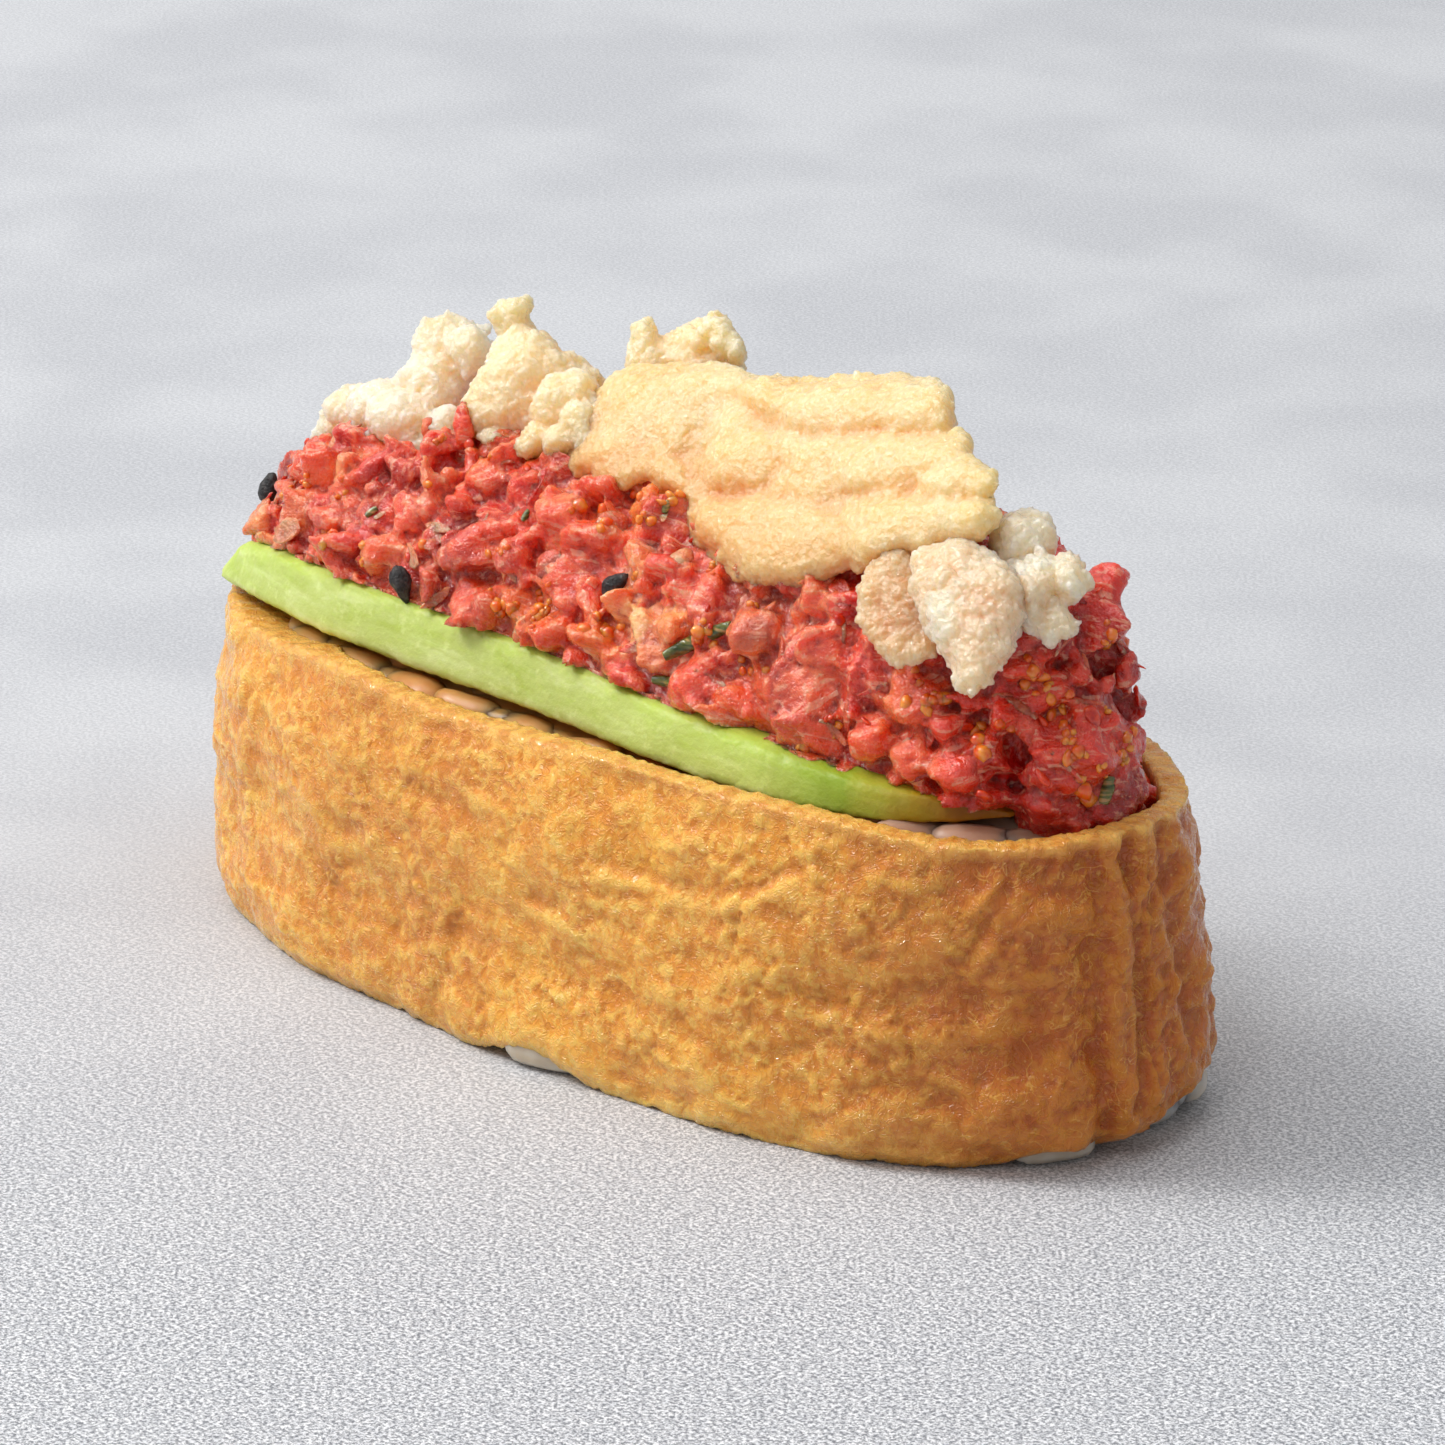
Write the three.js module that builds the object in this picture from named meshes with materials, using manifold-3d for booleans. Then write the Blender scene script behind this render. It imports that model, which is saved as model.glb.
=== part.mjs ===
// Open inari sushi: a band of fried tofu skin standing on edge round a block of sushi rice, with a slice of
// avocado laid along the rice, a mound of chopped spicy tuna on top and pieces of puffed tempura crisp on the mound.
// Millimetres, +Z up. X runs along the band, -Y is the side with the avocado's peeled face, +X is the pleated end.
import * as THREE from "three";
import { mergeVertices } from "three/addons/utils/BufferGeometryUtils.js";
import Module from "manifold-3d";

const wasm = await Module();
wasm.setup();

// ---- driving dimensions, mm --------------------------------------------------------------------------------------
const BAND_H = 20.0; // height of the tofu band
const BAND_T = 1.9; // wall thickness of the tofu band
const PLAN_N = 2.5; // how square the band's oval is
// the band's outside at shares of its height: half length to -X, half length to +X, half width
const PROFILE = [
  [0.0, 37.3, 37.1, 17.7],
  [0.16, 37.9, 39.0, 17.9],
  [0.38, 37.9, 38.3, 17.2],
  [0.6, 38.1, 37.7, 16.8],
  [0.8, 38.3, 38.0, 16.0],
  [1.0, 37.7, 38.1, 14.9],
];
const RIM = [19.9, 0.7, -0.5]; // height of the rim: at the middle, its slope and its bow over the half length
const LIFTS = [
  // where the band's lower edge rises off the surface: [x, y, height, half width along the edge]
  [36.8, 6.0, 2.7, 6.0],
  [4.5, -17.0, 1.3, 3.4],
  [36.0, -5.0, 0.9, 2.6],
];
const PLEATS = [
  // upright folds at the +X end: [y, depth, half width]
  [-4.6, 0.55, 0.9],
  [-1.3, 0.95, 0.9],
  [2.3, 0.9, 1.0],
  [6.2, 0.6, 1.1],
];
const RICE_TOP = 18.9; // level of the rice inside the band
const GAP = 0.32; // clearance kept between touching pieces

const AVO_BOTTOM = 19.6; // the slice lies just above the rice
const AVO_EDGE = [
  // the peeled face, seen from above: [x, y, height of the face, depth of the slice]
  [-35.5, -7.5, 2.5, 5.0],
  [-29.4, -9.1, 3.5, 7.2],
  [-20.1, -10.6, 4.0, 8.6],
  [-8.0, -10.8, 4.0, 8.0],
  [2.0, -11.1, 3.8, 7.6],
  [10.0, -11.6, 3.5, 7.8],
  [18.0, -11.2, 3.0, 8.2],
  [25.0, -9.6, 2.2, 7.0],
  [28.8, -6.9, 1.5, 4.6],
  [31.4, -4.2, 0.9, 2.2],
];

// plan of the tuna mound: middle, half length, half width, foot, squareness of the -X and +X ends
const HEAP = { x: -0.6, y: 0.6, a: 36.2, b: 11.7, z: 18.7, nLeft: 3.2, nRight: 2.3 };
const HEAP_H = 15.3; // height of the mound at its middle, above HEAP.z
const HEAP_RISE = 0.07; // it grows towards +X by this much for each mm
const HEAP_END = [4, 7]; // how late it falls away towards the -X and the +X end

// Each crisp is a few puffed lobes: [x, y, z, rx, ry, rz]
const CRISPS = {
  crisp_left: [
    [-25.2, 2.6, 33.3, 2.5, 2.7, 3.0],
    [-26.3, 3.2, 35.3, 1.6, 1.8, 1.3],
    [-22.7, 3.3, 35.3, 1.1, 1.3, 1.6],
    [-24.6, -1.4, 31.7, 2.7, 2.7, 2.0],
    [-28.3, 0.6, 31.2, 2.7, 2.7, 1.9],
    [-31.6, 0.6, 30.2, 2.0, 2.2, 1.6],
    [-23.6, -3.6, 30.6, 1.2, 1.3, 1.6],
  ],
  crisp_peak: [
    [-15.2, 1.0, 33.9, 3.7, 3.4, 2.9],
    [-16.5, 1.5, 36.4, 2.6, 2.8, 2.5],
    [-17.6, 2.0, 39.0, 1.2, 1.3, 1.5],
    [-11.2, 0.0, 35.2, 2.2, 2.2, 2.7],
    [-13.6, -2.4, 32.6, 3.2, 2.2, 1.6],
  ],
  crisp_back: [
    [-9.7, 6.7, 36.0, 1.3, 1.6, 3.1],
    [-5.6, 6.5, 38.0, 2.7, 2.5, 1.9],
    [-4.4, 6.3, 39.7, 1.6, 1.5, 1.2],
    [-5.4, 5.9, 35.6, 3.4, 2.5, 2.2],
  ],
  crisp_main: [
    [-5.6, -0.8, 35.0, 3.2, 3.5, 2.9],
    [-0.6, 1.0, 37.0, 3.7, 3.8, 2.7],
    [2.2, -3.0, 35.2, 3.0, 2.8, 2.0],
    [6.2, 0.9, 37.6, 3.9, 4.2, 3.1],
    [9.2, -3.6, 36.3, 3.4, 3.3, 3.2],
    [11.4, -5.2, 33.2, 5.0, 3.3, 2.7],
    [13.4, 2.5, 39.6, 4.2, 3.8, 1.9],
    [15.0, -1.0, 37.2, 4.0, 4.2, 3.4],
    [21.3, -2.2, 36.3, 3.8, 3.6, 3.3],
    [18.2, -4.7, 34.4, 3.0, 2.6, 2.3],
    [22.9, 0.2, 37.6, 2.2, 2.1, 1.8],
  ],
  crisp_flake: [
    [23.8, -7.0, 33.0, 2.0, 1.4, 2.4],
    [25.9, -8.2, 30.8, 2.2, 1.5, 2.0],
  ],
  crisp_nugget: [
    [28.7, -6.0, 33.8, 2.9, 2.5, 2.7],
    [30.9, -7.2, 31.7, 2.1, 2.0, 2.3],
    [31.0, -7.8, 29.8, 1.2, 1.1, 1.3],
  ],
  crisp_small: [
    [28.8, -1.0, 35.9, 1.7, 1.6, 1.9],
    [30.7, -2.8, 33.9, 1.8, 1.6, 1.9],
    [32.5, -0.9, 34.5, 1.4, 1.5, 1.6],
    [32.8, -3.1, 32.5, 1.8, 1.5, 1.5],
  ],
};

const COLOURS = {
  tofu: [0xd9964c, 0.42],
  rice: [0xe6dccb, 0.45],
  avocado: [0xa9d455, 0.5],
  tuna: [0xc83c34, 0.28],
  crisp: [0xf6dda2, 0.6],
};

// ---- small helpers ------------------------------------------------------------------------------------------------
const sgnpow = (v, p) => Math.sign(v) * Math.abs(v) ** p;
const clamp01 = (v) => Math.min(1, Math.max(0, v));
const smooth = (a, b, v) => {
  const t = clamp01((v - a) / (b - a));
  return t * t * (3 - 2 * t);
};
// a soft, repeatable unevenness in -1..1
const lumps = (x, y, z, k) =>
  (Math.sin(x * k + 1.7 * Math.sin(y * k * 0.8 + 0.6)) +
    Math.sin(y * k * 1.13 + 1.3 * Math.sin(z * k * 0.9 + 2.1) + 0.8) +
    Math.sin(z * k * 1.21 + 1.5 * Math.sin(x * k * 0.7 + 4.0) + 2.9)) /
  3;

function along(table, key, col) {
  // smooth interpolation of table column col at key
  let i = 0;
  while (i < table.length - 2 && key > table[i + 1][0]) i++;
  const [p0, p1, p2, p3] = [i - 1, i, i + 1, i + 2].map(
    (j) => table[Math.min(table.length - 1, Math.max(0, j))],
  );
  const t = clamp01((key - p1[0]) / (p2[0] - p1[0]));
  const h = p2[0] - p1[0];
  const m1 = ((p2[col] - p0[col]) / Math.max(1e-6, p2[0] - p0[0])) * h;
  const m2 = ((p3[col] - p1[col]) / Math.max(1e-6, p3[0] - p1[0])) * h;
  return (
    (2 * t ** 3 - 3 * t ** 2 + 1) * p1[col] +
    (t ** 3 - 2 * t ** 2 + t) * m1 +
    (-2 * t ** 3 + 3 * t ** 2) * p2[col] +
    (t ** 3 - t ** 2) * m2
  );
}

// The band's oval, by even steps along its length. s runs 0..1 from +X, counter-clockwise from above.
const OVAL = (() => {
  const m = 1440,
    pts = [],
    len = [0];
  for (let i = 0; i <= m; i++) {
    const t = (i / m) * 2 * Math.PI;
    pts.push([
      sgnpow(Math.cos(t), 2 / PLAN_N) * 38,
      sgnpow(Math.sin(t), 2 / PLAN_N) * 16.5,
    ]);
    if (i)
      len.push(
        len[i - 1] +
          Math.hypot(pts[i][0] - pts[i - 1][0], pts[i][1] - pts[i - 1][1]),
      );
  }
  return { m, pts, len, total: len[m] };
})();
function ovalUnit(s) {
  // point on the unit oval (x / half length, y / half width) at share s of its length
  const want = (((s % 1) + 1) % 1) * OVAL.total;
  let lo = 0,
    hi = OVAL.m;
  while (hi - lo > 1) {
    const mid = (lo + hi) >> 1;
    if (OVAL.len[mid] <= want) lo = mid;
    else hi = mid;
  }
  const t = (want - OVAL.len[lo]) / Math.max(1e-9, OVAL.len[hi] - OVAL.len[lo]);
  return [
    (OVAL.pts[lo][0] + (OVAL.pts[hi][0] - OVAL.pts[lo][0]) * t) / 38,
    (OVAL.pts[lo][1] + (OVAL.pts[hi][1] - OVAL.pts[lo][1]) * t) / 16.5,
  ];
}
function shareAt(x, y) {
  // share s of the oval nearest the direction of (x, y)
  let best = 0,
    near = 1e9;
  for (let i = 0; i < OVAL.m; i++) {
    const d = Math.hypot(OVAL.pts[i][0] - x, OVAL.pts[i][1] - y);
    if (d < near) [near, best] = [d, i];
  }
  return OVAL.len[best] / OVAL.total;
}
const wrap = (d) => d - Math.round(d);
const LIFT_AT = LIFTS.map(([x, y, h, w]) => [
  shareAt(x, y),
  h,
  w / OVAL.total,
]);
const lift = (s) =>
  LIFT_AT.reduce(
    (sum, [at, h, w]) => sum + h * Math.exp(-((wrap(s - at) / w) ** 2)),
    0,
  );
const rimZ = (s) => {
  const [ux] = ovalUnit(s);
  return (
    RIM[0] +
    RIM[1] * ux +
    RIM[2] * ux * ux +
    0.16 * Math.sin(2 * Math.PI * 5 * s + 0.9) +
    0.14 * Math.sin(2 * Math.PI * 9 * s + 2.2)
  );
};

// A point of the band's skin, inset from the outside by d, at share s and height z.
function bandPoint(s, z, d) {
  const v = clamp01(z / BAND_H);
  const [ux, uy] = ovalUnit(s);
  const a = along(PROFILE, v, ux < 0 ? 1 : 2),
    b = along(PROFILE, v, 3);
  const nx = sgnpow(ux, PLAN_N - 1) / a,
    ny = sgnpow(uy, PLAN_N - 1) / b,
    nl = Math.hypot(nx, ny) || 1;
  let out = -d;
  out += 0.35 * lumps(ux * a, uy * b, z, 0.33);
  if (ux > 0)
    for (const [y, depth, w] of PLEATS)
      out -=
        depth *
        smooth(0.5, 0.9, ux) *
        Math.exp(-(((uy * b - y - 0.6 * Math.sin(z * 0.25)) / w) ** 2)) *
        (d > 0.5 ? 0.5 : 1);
  return [ux * a + (nx / nl) * out, uy * b + (ny / nl) * out, z];
}

// ---- solids -------------------------------------------------------------------------------------------------------
// A closed mesh from rings of points: ring i joins ring i + 1, and the last joins the first (a hoop), or both ends
// are closed by a fan (a stack).
function skin(rings, hoop) {
  const n = rings[0].length,
    pos = [],
    idx = [];
  rings.forEach((r) => r.forEach((p) => pos.push(...p)));
  const last = hoop ? rings.length : rings.length - 1;
  for (let i = 0; i < last; i++)
    for (let j = 0; j < n; j++) {
      const a = i * n + j,
        b = i * n + ((j + 1) % n),
        i2 = (i + 1) % rings.length,
        c = i2 * n + j,
        d = i2 * n + ((j + 1) % n);
      idx.push(a, b, d, a, d, c);
    }
  if (!hoop)
    for (const [ring, first] of [
      [0, true],
      [rings.length - 1, false],
    ]) {
      const mid = pos.length / 3,
        r = rings[ring];
      pos.push(
        ...[0, 1, 2].map((k) => r.reduce((sum, p) => sum + p[k], 0) / n),
      );
      for (let j = 0; j < n; j++) {
        const a = ring * n + j,
          b = ring * n + ((j + 1) % n);
        if (first) idx.push(mid, b, a);
        else idx.push(mid, a, b);
      }
    }
  const g = new THREE.BufferGeometry();
  g.setAttribute("position", new THREE.Float32BufferAttribute(pos, 3));
  g.setIndex(idx);
  return g;
}

function solid(geometry) {
  let g = geometry.clone();
  g.deleteAttribute("normal");
  g.deleteAttribute("uv");
  g = mergeVertices(g, 1e-4);
  const make = (tri) =>
    new wasm.Manifold(
      new wasm.Mesh({
        numProp: 3,
        vertProperties: new Float32Array(g.attributes.position.array),
        triVerts: tri,
      }),
    );
  const tri = new Uint32Array(g.index.array);
  let made = make(tri);
  if (made.volume() < 0) {
    for (let i = 0; i < tri.length; i += 3)
      [tri[i + 1], tri[i + 2]] = [tri[i + 2], tri[i + 1]];
    made = make(tri);
  }
  return made;
}

const largest = (m) =>
  m.decompose().reduce((a, b) => (b.volume() > a.volume() ? b : a));

function geometryOf(m) {
  const mesh = largest(m).getMesh(),
    v = new Float32Array(mesh.numVert * 3);
  for (let i = 0; i < mesh.numVert; i++)
    v.set(
      mesh.vertProperties.subarray(i * mesh.numProp, i * mesh.numProp + 3),
      i * 3,
    );
  const g = new THREE.BufferGeometry();
  g.setAttribute("position", new THREE.BufferAttribute(v, 3));
  g.setIndex(new THREE.BufferAttribute(new Uint32Array(mesh.triVerts), 1));
  const flat = g.toNonIndexed();
  flat.computeVertexNormals();
  return flat;
}

// The band: one wall section carried round the oval. grow makes it larger on every side.
function band(grow, steps) {
  const section = [
    // [share of height, inset] round the wall, from the outside foot
    [0.0, 0.25],
    [0.16, 0],
    [0.38, 0],
    [0.6, 0],
    [0.8, 0],
    [0.95, 0],
    [1.0, 0.35],
    [1.0, BAND_T - 0.35],
    [0.95, BAND_T],
    [0.62, BAND_T],
    [0.3, BAND_T],
    [0.0, BAND_T],
  ];
  return solid(
    skin(
      section.map(([v, d]) =>
        Array.from({ length: steps }, (_, j) => {
          const s = j / steps,
            foot = lift(s) - (v === 0 ? grow : 0),
            rim = rimZ(s) + (v === 1 ? grow : 0);
          const p = bandPoint(
            s,
            v <= 0 ? lift(s) : lift(s) + (rimZ(s) - lift(s)) * v,
            d + (d < BAND_T / 2 ? -grow : grow),
          );
          p[2] = v <= 0 ? foot : v >= 1 ? rim : p[2];
          return p;
        }),
      ),
      true,
    ),
  );
}

// The rice: a block out to the wall, with a gently uneven top.
const riceTop = (x, y) =>
  RICE_TOP + 0.3 * lumps(x, y, 3, 0.55) - 0.5 * smooth(0.8, 1.0, rimShare(x, y));
function rimShare(x, y) {
  return (
    (Math.abs(x / 37.5) ** PLAN_N + Math.abs(y / 14.9) ** PLAN_N) **
    (1 / PLAN_N)
  );
}
function rice(grow, steps) {
  const rings = [];
  for (const z of [0, 1.2, 2.6, 8, 14, RICE_TOP - 1.2]) {
    rings.push(
      Array.from({ length: steps }, (_, j) => {
        const p = bandPoint(j / steps, Math.max(z, 0.01), 1.1 - grow);
        return [p[0], p[1], z - (z === 0 ? grow : 0)];
      }),
    );
  }
  for (const k of [0.985, 0.8, 0.5, 0.2]) {
    rings.push(
      Array.from({ length: steps }, (_, j) => {
        const p = bandPoint(j / steps, RICE_TOP, 1.1 - grow);
        const x = p[0] * k,
          y = p[1] * k;
        return [x, y, riceTop(x, y) + grow];
      }),
    );
  }
  return solid(skin(rings, false));
}

// The avocado slice: a crescent in plan, its peeled face upright towards -Y.
function avocado(grow, steps) {
  const rings = [];
  const x0 = AVO_EDGE[0][0] - grow,
    x1 = AVO_EDGE[AVO_EDGE.length - 1][0] + grow;
  for (let i = 0; i <= steps; i++) {
    const x = x0 + ((x1 - x0) * i) / steps;
    const y = along(AVO_EDGE, x, 1) - grow,
      h = along(AVO_EDGE, x, 2) + 2 * grow,
      depth = along(AVO_EDGE, x, 3) + 2 * grow,
      z = AVO_BOTTOM - grow + 0.25 * smooth(20, 31, x);
    // section, from the face's foot round by the back
    rings.push(
      [
        [0, 0.16],
        [0.06, 0.0],
        [0.55, 0.0],
        [1, 0.08],
        [1, 0.86],
        [0.55, 1.0],
        [0.09, 1.0],
        [0.035, 0.88],
      ].map(([py, pz]) => [
        x + (i === 0 ? 1.6 * pz : 0),
        y + depth * py,
        z + h * pz,
      ]),
    );
  }
  return solid(skin(rings, false));
}

// The mound of chopped tuna.
function heapTop(x, y) {
  const fx = Math.abs((x - HEAP.x) / HEAP.a),
    right = x > HEAP.x ? 1 : 0,
    n = right ? HEAP.nRight : HEAP.nLeft,
    half = HEAP.b * Math.max(0, 1 - fx ** n) ** (1 / n),
    t = half > 1e-6 ? Math.min(1, Math.abs((y - HEAP.y) / half)) : 1;
  return (
    HEAP.z +
    (HEAP_H + HEAP_RISE * x) *
      Math.max(0, 1 - t ** 2.2) ** 0.5 *
      Math.max(0, 1 - fx ** HEAP_END[right]) ** 0.35
  );
}
function heap(grow, steps) {
  const rings = [[], []];
  const outline = Array.from({ length: steps }, (_, j) => {
    const t = (j / steps) * 2 * Math.PI,
      n = Math.cos(t) > 0 ? HEAP.nRight : HEAP.nLeft;
    return [
      sgnpow(Math.cos(t), 2 / n) * HEAP.a,
      sgnpow(Math.sin(t), 2 / n) * HEAP.b,
    ];
  });
  for (const [x, y] of outline) {
    rings[0].push([HEAP.x + x * 0.93, HEAP.y + y * 0.9, HEAP.z - grow]);
    rings[1].push([HEAP.x + x * 0.99, HEAP.y + y * 0.99, HEAP.z + 1.2]);
  }
  for (const k of [0.995, 0.965, 0.9, 0.79, 0.62, 0.42, 0.2])
    rings.push(
      outline.map(([ox, oy]) => {
        const x = HEAP.x + ox * k,
          y = HEAP.y + oy * k,
          z = heapTop(x, y),
          w = 0.55 * lumps(x, y, z, 0.72);
        return [
          x + (ox / HEAP.a) * (grow + w * (0.4 + k)),
          y + (oy / HEAP.b) * (grow + w * (0.4 + k)),
          Math.max(z, HEAP.z + 1.6) + grow + w,
        ];
      }),
    );
  return solid(skin(rings, false));
}

// A crisp: puffed lobes grown together.
function crisp(lobes, grow) {
  let made = null;
  lobes.forEach(([x, y, z, rx, ry, rz], i) => {
    const g = new THREE.IcosahedronGeometry(1, rx > 3.85 ? 2 : 1);
    const p = g.getAttribute("position");
    for (let j = 0; j < p.count; j++) {
      const u = [p.getX(j), p.getY(j), p.getZ(j)];
      const w = 1 + 0.09 * lumps(u[0] * 3 + i, u[1] * 3, u[2] * 3, 1.4);
      p.setXYZ(
        j,
        x + u[0] * (rx * w + grow),
        y + u[1] * (ry * w + grow),
        z + u[2] * (rz * w + grow),
      );
    }
    const lobe = solid(g);
    made = made ? made.add(lobe) : lobe;
  });
  return made;
}

// ---- the pieces, each cut clear of those it rests on --------------------------------------------------------------
const bandSolid = band(0, 60);
const bandRoom = band(GAP, 60);
const riceSolid = rice(0, 44).subtract(bandRoom);
const avocadoSolid = avocado(0, 22);
const tunaSolid = largest(
  heap(0, 42)
    .subtract(bandRoom)
    .subtract(avocado(GAP, 22))
    .subtract(rice(GAP, 32)),
);
const solids = {
  tofu_band: [bandSolid, "tofu"],
  rice: [riceSolid, "rice"],
  avocado_slice: [avocadoSolid, "avocado"],
  tuna_tartare: [tunaSolid, "tuna"],
};
let taken = heap(GAP, 42);
for (const name of [
  "crisp_main",
  "crisp_peak",
  "crisp_left",
  "crisp_back",
  "crisp_nugget",
  "crisp_flake",
  "crisp_small",
]) {
  solids[name] = [largest(crisp(CRISPS[name], 0).subtract(taken)), "crisp"];
  taken = taken.add(crisp(CRISPS[name], GAP));
}

const inari = new THREE.Group();
inari.name = "inari_sushi";
const whole = new THREE.Box3();
for (const [name, [made, look]] of Object.entries(solids)) {
  const [colour, roughness] = COLOURS[look];
  const mesh = new THREE.Mesh(
    geometryOf(made),
    new THREE.MeshStandardMaterial({ color: colour, roughness, metalness: 0 }),
  );
  mesh.name = name;
  inari.add(mesh);
  whole.expandByObject(mesh);
}
// the frame's origin is under the middle of the whole piece, on the surface it stands on
inari.position.set(
  -(whole.min.x + whole.max.x) / 2,
  -(whole.min.y + whole.max.y) / 2,
  -whole.min.z,
);

export default inari;
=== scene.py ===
import math

import bmesh
import bpy
import numpy as np
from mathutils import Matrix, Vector
from mathutils.bvhtree import BVHTree


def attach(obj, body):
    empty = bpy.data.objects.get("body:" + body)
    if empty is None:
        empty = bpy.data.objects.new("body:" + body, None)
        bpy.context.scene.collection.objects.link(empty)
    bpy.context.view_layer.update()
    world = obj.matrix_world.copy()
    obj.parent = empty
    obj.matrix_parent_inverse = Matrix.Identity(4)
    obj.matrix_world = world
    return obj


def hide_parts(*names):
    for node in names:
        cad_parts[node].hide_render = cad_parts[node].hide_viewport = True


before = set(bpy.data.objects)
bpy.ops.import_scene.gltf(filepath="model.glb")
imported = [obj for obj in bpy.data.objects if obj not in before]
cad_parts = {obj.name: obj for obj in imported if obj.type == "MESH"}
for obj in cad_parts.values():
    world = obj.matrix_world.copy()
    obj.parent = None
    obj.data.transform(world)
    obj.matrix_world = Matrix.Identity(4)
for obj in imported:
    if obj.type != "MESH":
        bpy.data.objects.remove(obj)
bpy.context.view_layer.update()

# Shapes are worked out in millimetres in the model's own un-centred frame, and brought to the row frame at the end.
MM = 0.001
SHIFT = np.array([-0.135, 0.019, 0.0])

# ---- the same driving dimensions as the CAD ---------------------------------------------------------------------
BAND_H, BAND_T, PLAN_N = 20.0, 1.9, 2.5
PROFILE = np.array([
    [0.0, 37.3, 37.1, 17.7],
    [0.16, 37.9, 39.0, 17.9],
    [0.38, 37.9, 38.3, 17.2],
    [0.6, 38.1, 37.7, 16.8],
    [0.8, 38.3, 38.0, 16.0],
    [1.0, 37.7, 38.1, 14.9],
])
RIM = (19.9, 0.7, -0.5)
LIFTS = ((36.8, 6.0, 2.7, 6.0), (4.5, -17.0, 1.3, 3.4), (36.0, -5.0, 0.9, 2.6))
RICE_TOP = 18.9
AVO_BOTTOM = 19.6
AVO_EDGE = np.array([
    [-35.5, -7.5, 2.5, 5.0],
    [-29.4, -9.1, 3.5, 7.2],
    [-20.1, -10.6, 4.0, 8.6],
    [-8.0, -10.8, 4.0, 8.0],
    [2.0, -11.1, 3.8, 7.6],
    [10.0, -11.6, 3.5, 7.8],
    [18.0, -11.2, 3.0, 8.2],
    [25.0, -9.6, 2.2, 7.0],
    [28.8, -6.9, 1.5, 4.6],
    [31.4, -4.2, 0.9, 2.2],
])
HX, HY, HA, HB, HZ = -0.6, 0.6, 36.2, 11.7, 18.7
HN = (3.2, 2.3)
HEAP_H, HEAP_RISE, HEAP_END = 15.3, 0.07, (4, 7)


# ---- numbers ------------------------------------------------------------------------------------------------------
def sgnpow(v, p):
    return np.sign(v) * np.abs(v) ** p


def smooth(a, b, v):
    t = np.clip((v - a) / (b - a), 0, 1)
    return t * t * (3 - 2 * t)


def lumps(x, y, z, k):
    return (
        np.sin(x * k + 1.7 * np.sin(y * k * 0.8 + 0.6))
        + np.sin(y * k * 1.13 + 1.3 * np.sin(z * k * 0.9 + 2.1) + 0.8)
        + np.sin(z * k * 1.21 + 1.5 * np.sin(x * k * 0.7 + 4.0) + 2.9)
    ) / 3


def along(T, key, col):
    key = np.asarray(key, float)
    i = np.clip(np.searchsorted(T[:, 0], key) - 1, 0, len(T) - 2)
    p0, p1, p2, p3 = (T[np.clip(i + k, 0, len(T) - 1)] for k in (-1, 0, 1, 2))
    h = p2[..., 0] - p1[..., 0]
    t = np.clip((key - p1[..., 0]) / h, 0, 1)
    m1 = (p2[..., col] - p0[..., col]) / np.maximum(1e-6, p2[..., 0] - p0[..., 0]) * h
    m2 = (p3[..., col] - p1[..., col]) / np.maximum(1e-6, p3[..., 0] - p1[..., 0]) * h
    return (
        (2 * t**3 - 3 * t**2 + 1) * p1[..., col]
        + (t**3 - 2 * t**2 + t) * m1
        + (-2 * t**3 + 3 * t**2) * p2[..., col]
        + (t**3 - t**2) * m2
    )


def _hash(ix, iy, iz, seed):
    m = 0xFFFFFFFF
    h = (ix.astype(np.int64) * 0x8DA6B343 ^ iy.astype(np.int64) * 0xD8163841 ^ iz.astype(np.int64) * 0xCB1AB31F) & m
    h = (h ^ (seed * 0x9E3779B1)) & m
    h = ((h ^ (h >> 15)) * 0x2C1B3C6D) & m
    h = ((h ^ (h >> 12)) * 0x297A2D39) & m
    return h ^ (h >> 15)


GRADS = np.array([
    [1, 1, 0], [-1, 1, 0], [1, -1, 0], [-1, -1, 0], [1, 0, 1], [-1, 0, 1], [1, 0, -1], [-1, 0, -1],
    [0, 1, 1], [0, -1, 1], [0, 1, -1], [0, -1, -1], [1, 1, 0], [-1, 1, 0], [0, -1, 1], [0, -1, -1],
], float)


def noise(P, seed=0):
    """Gradient noise, about -1..1."""
    f = np.floor(P)
    t = P - f
    i = f.astype(np.int64)
    w = t * t * t * (t * (t * 6 - 15) + 10)
    out = np.zeros(len(P))
    for dx in (0, 1):
        for dy in (0, 1):
            for dz in (0, 1):
                g = GRADS[_hash(i[:, 0] + dx, i[:, 1] + dy, i[:, 2] + dz, seed) & 15]
                d = (g * (t - [dx, dy, dz])).sum(1)
                k = (w[:, 0] if dx else 1 - w[:, 0]) * (w[:, 1] if dy else 1 - w[:, 1]) * (w[:, 2] if dz else 1 - w[:, 2])
                out += k * d
    return out * 1.1


def fbm(P, octaves=3, seed=0, gain=0.5):
    total, amp, norm = 0, 1.0, 0
    for o in range(octaves):
        total = total + amp * noise(P * 2.03**o + 17.1 * o, seed + o)
        norm += amp
        amp *= gain
    return total / norm


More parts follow.
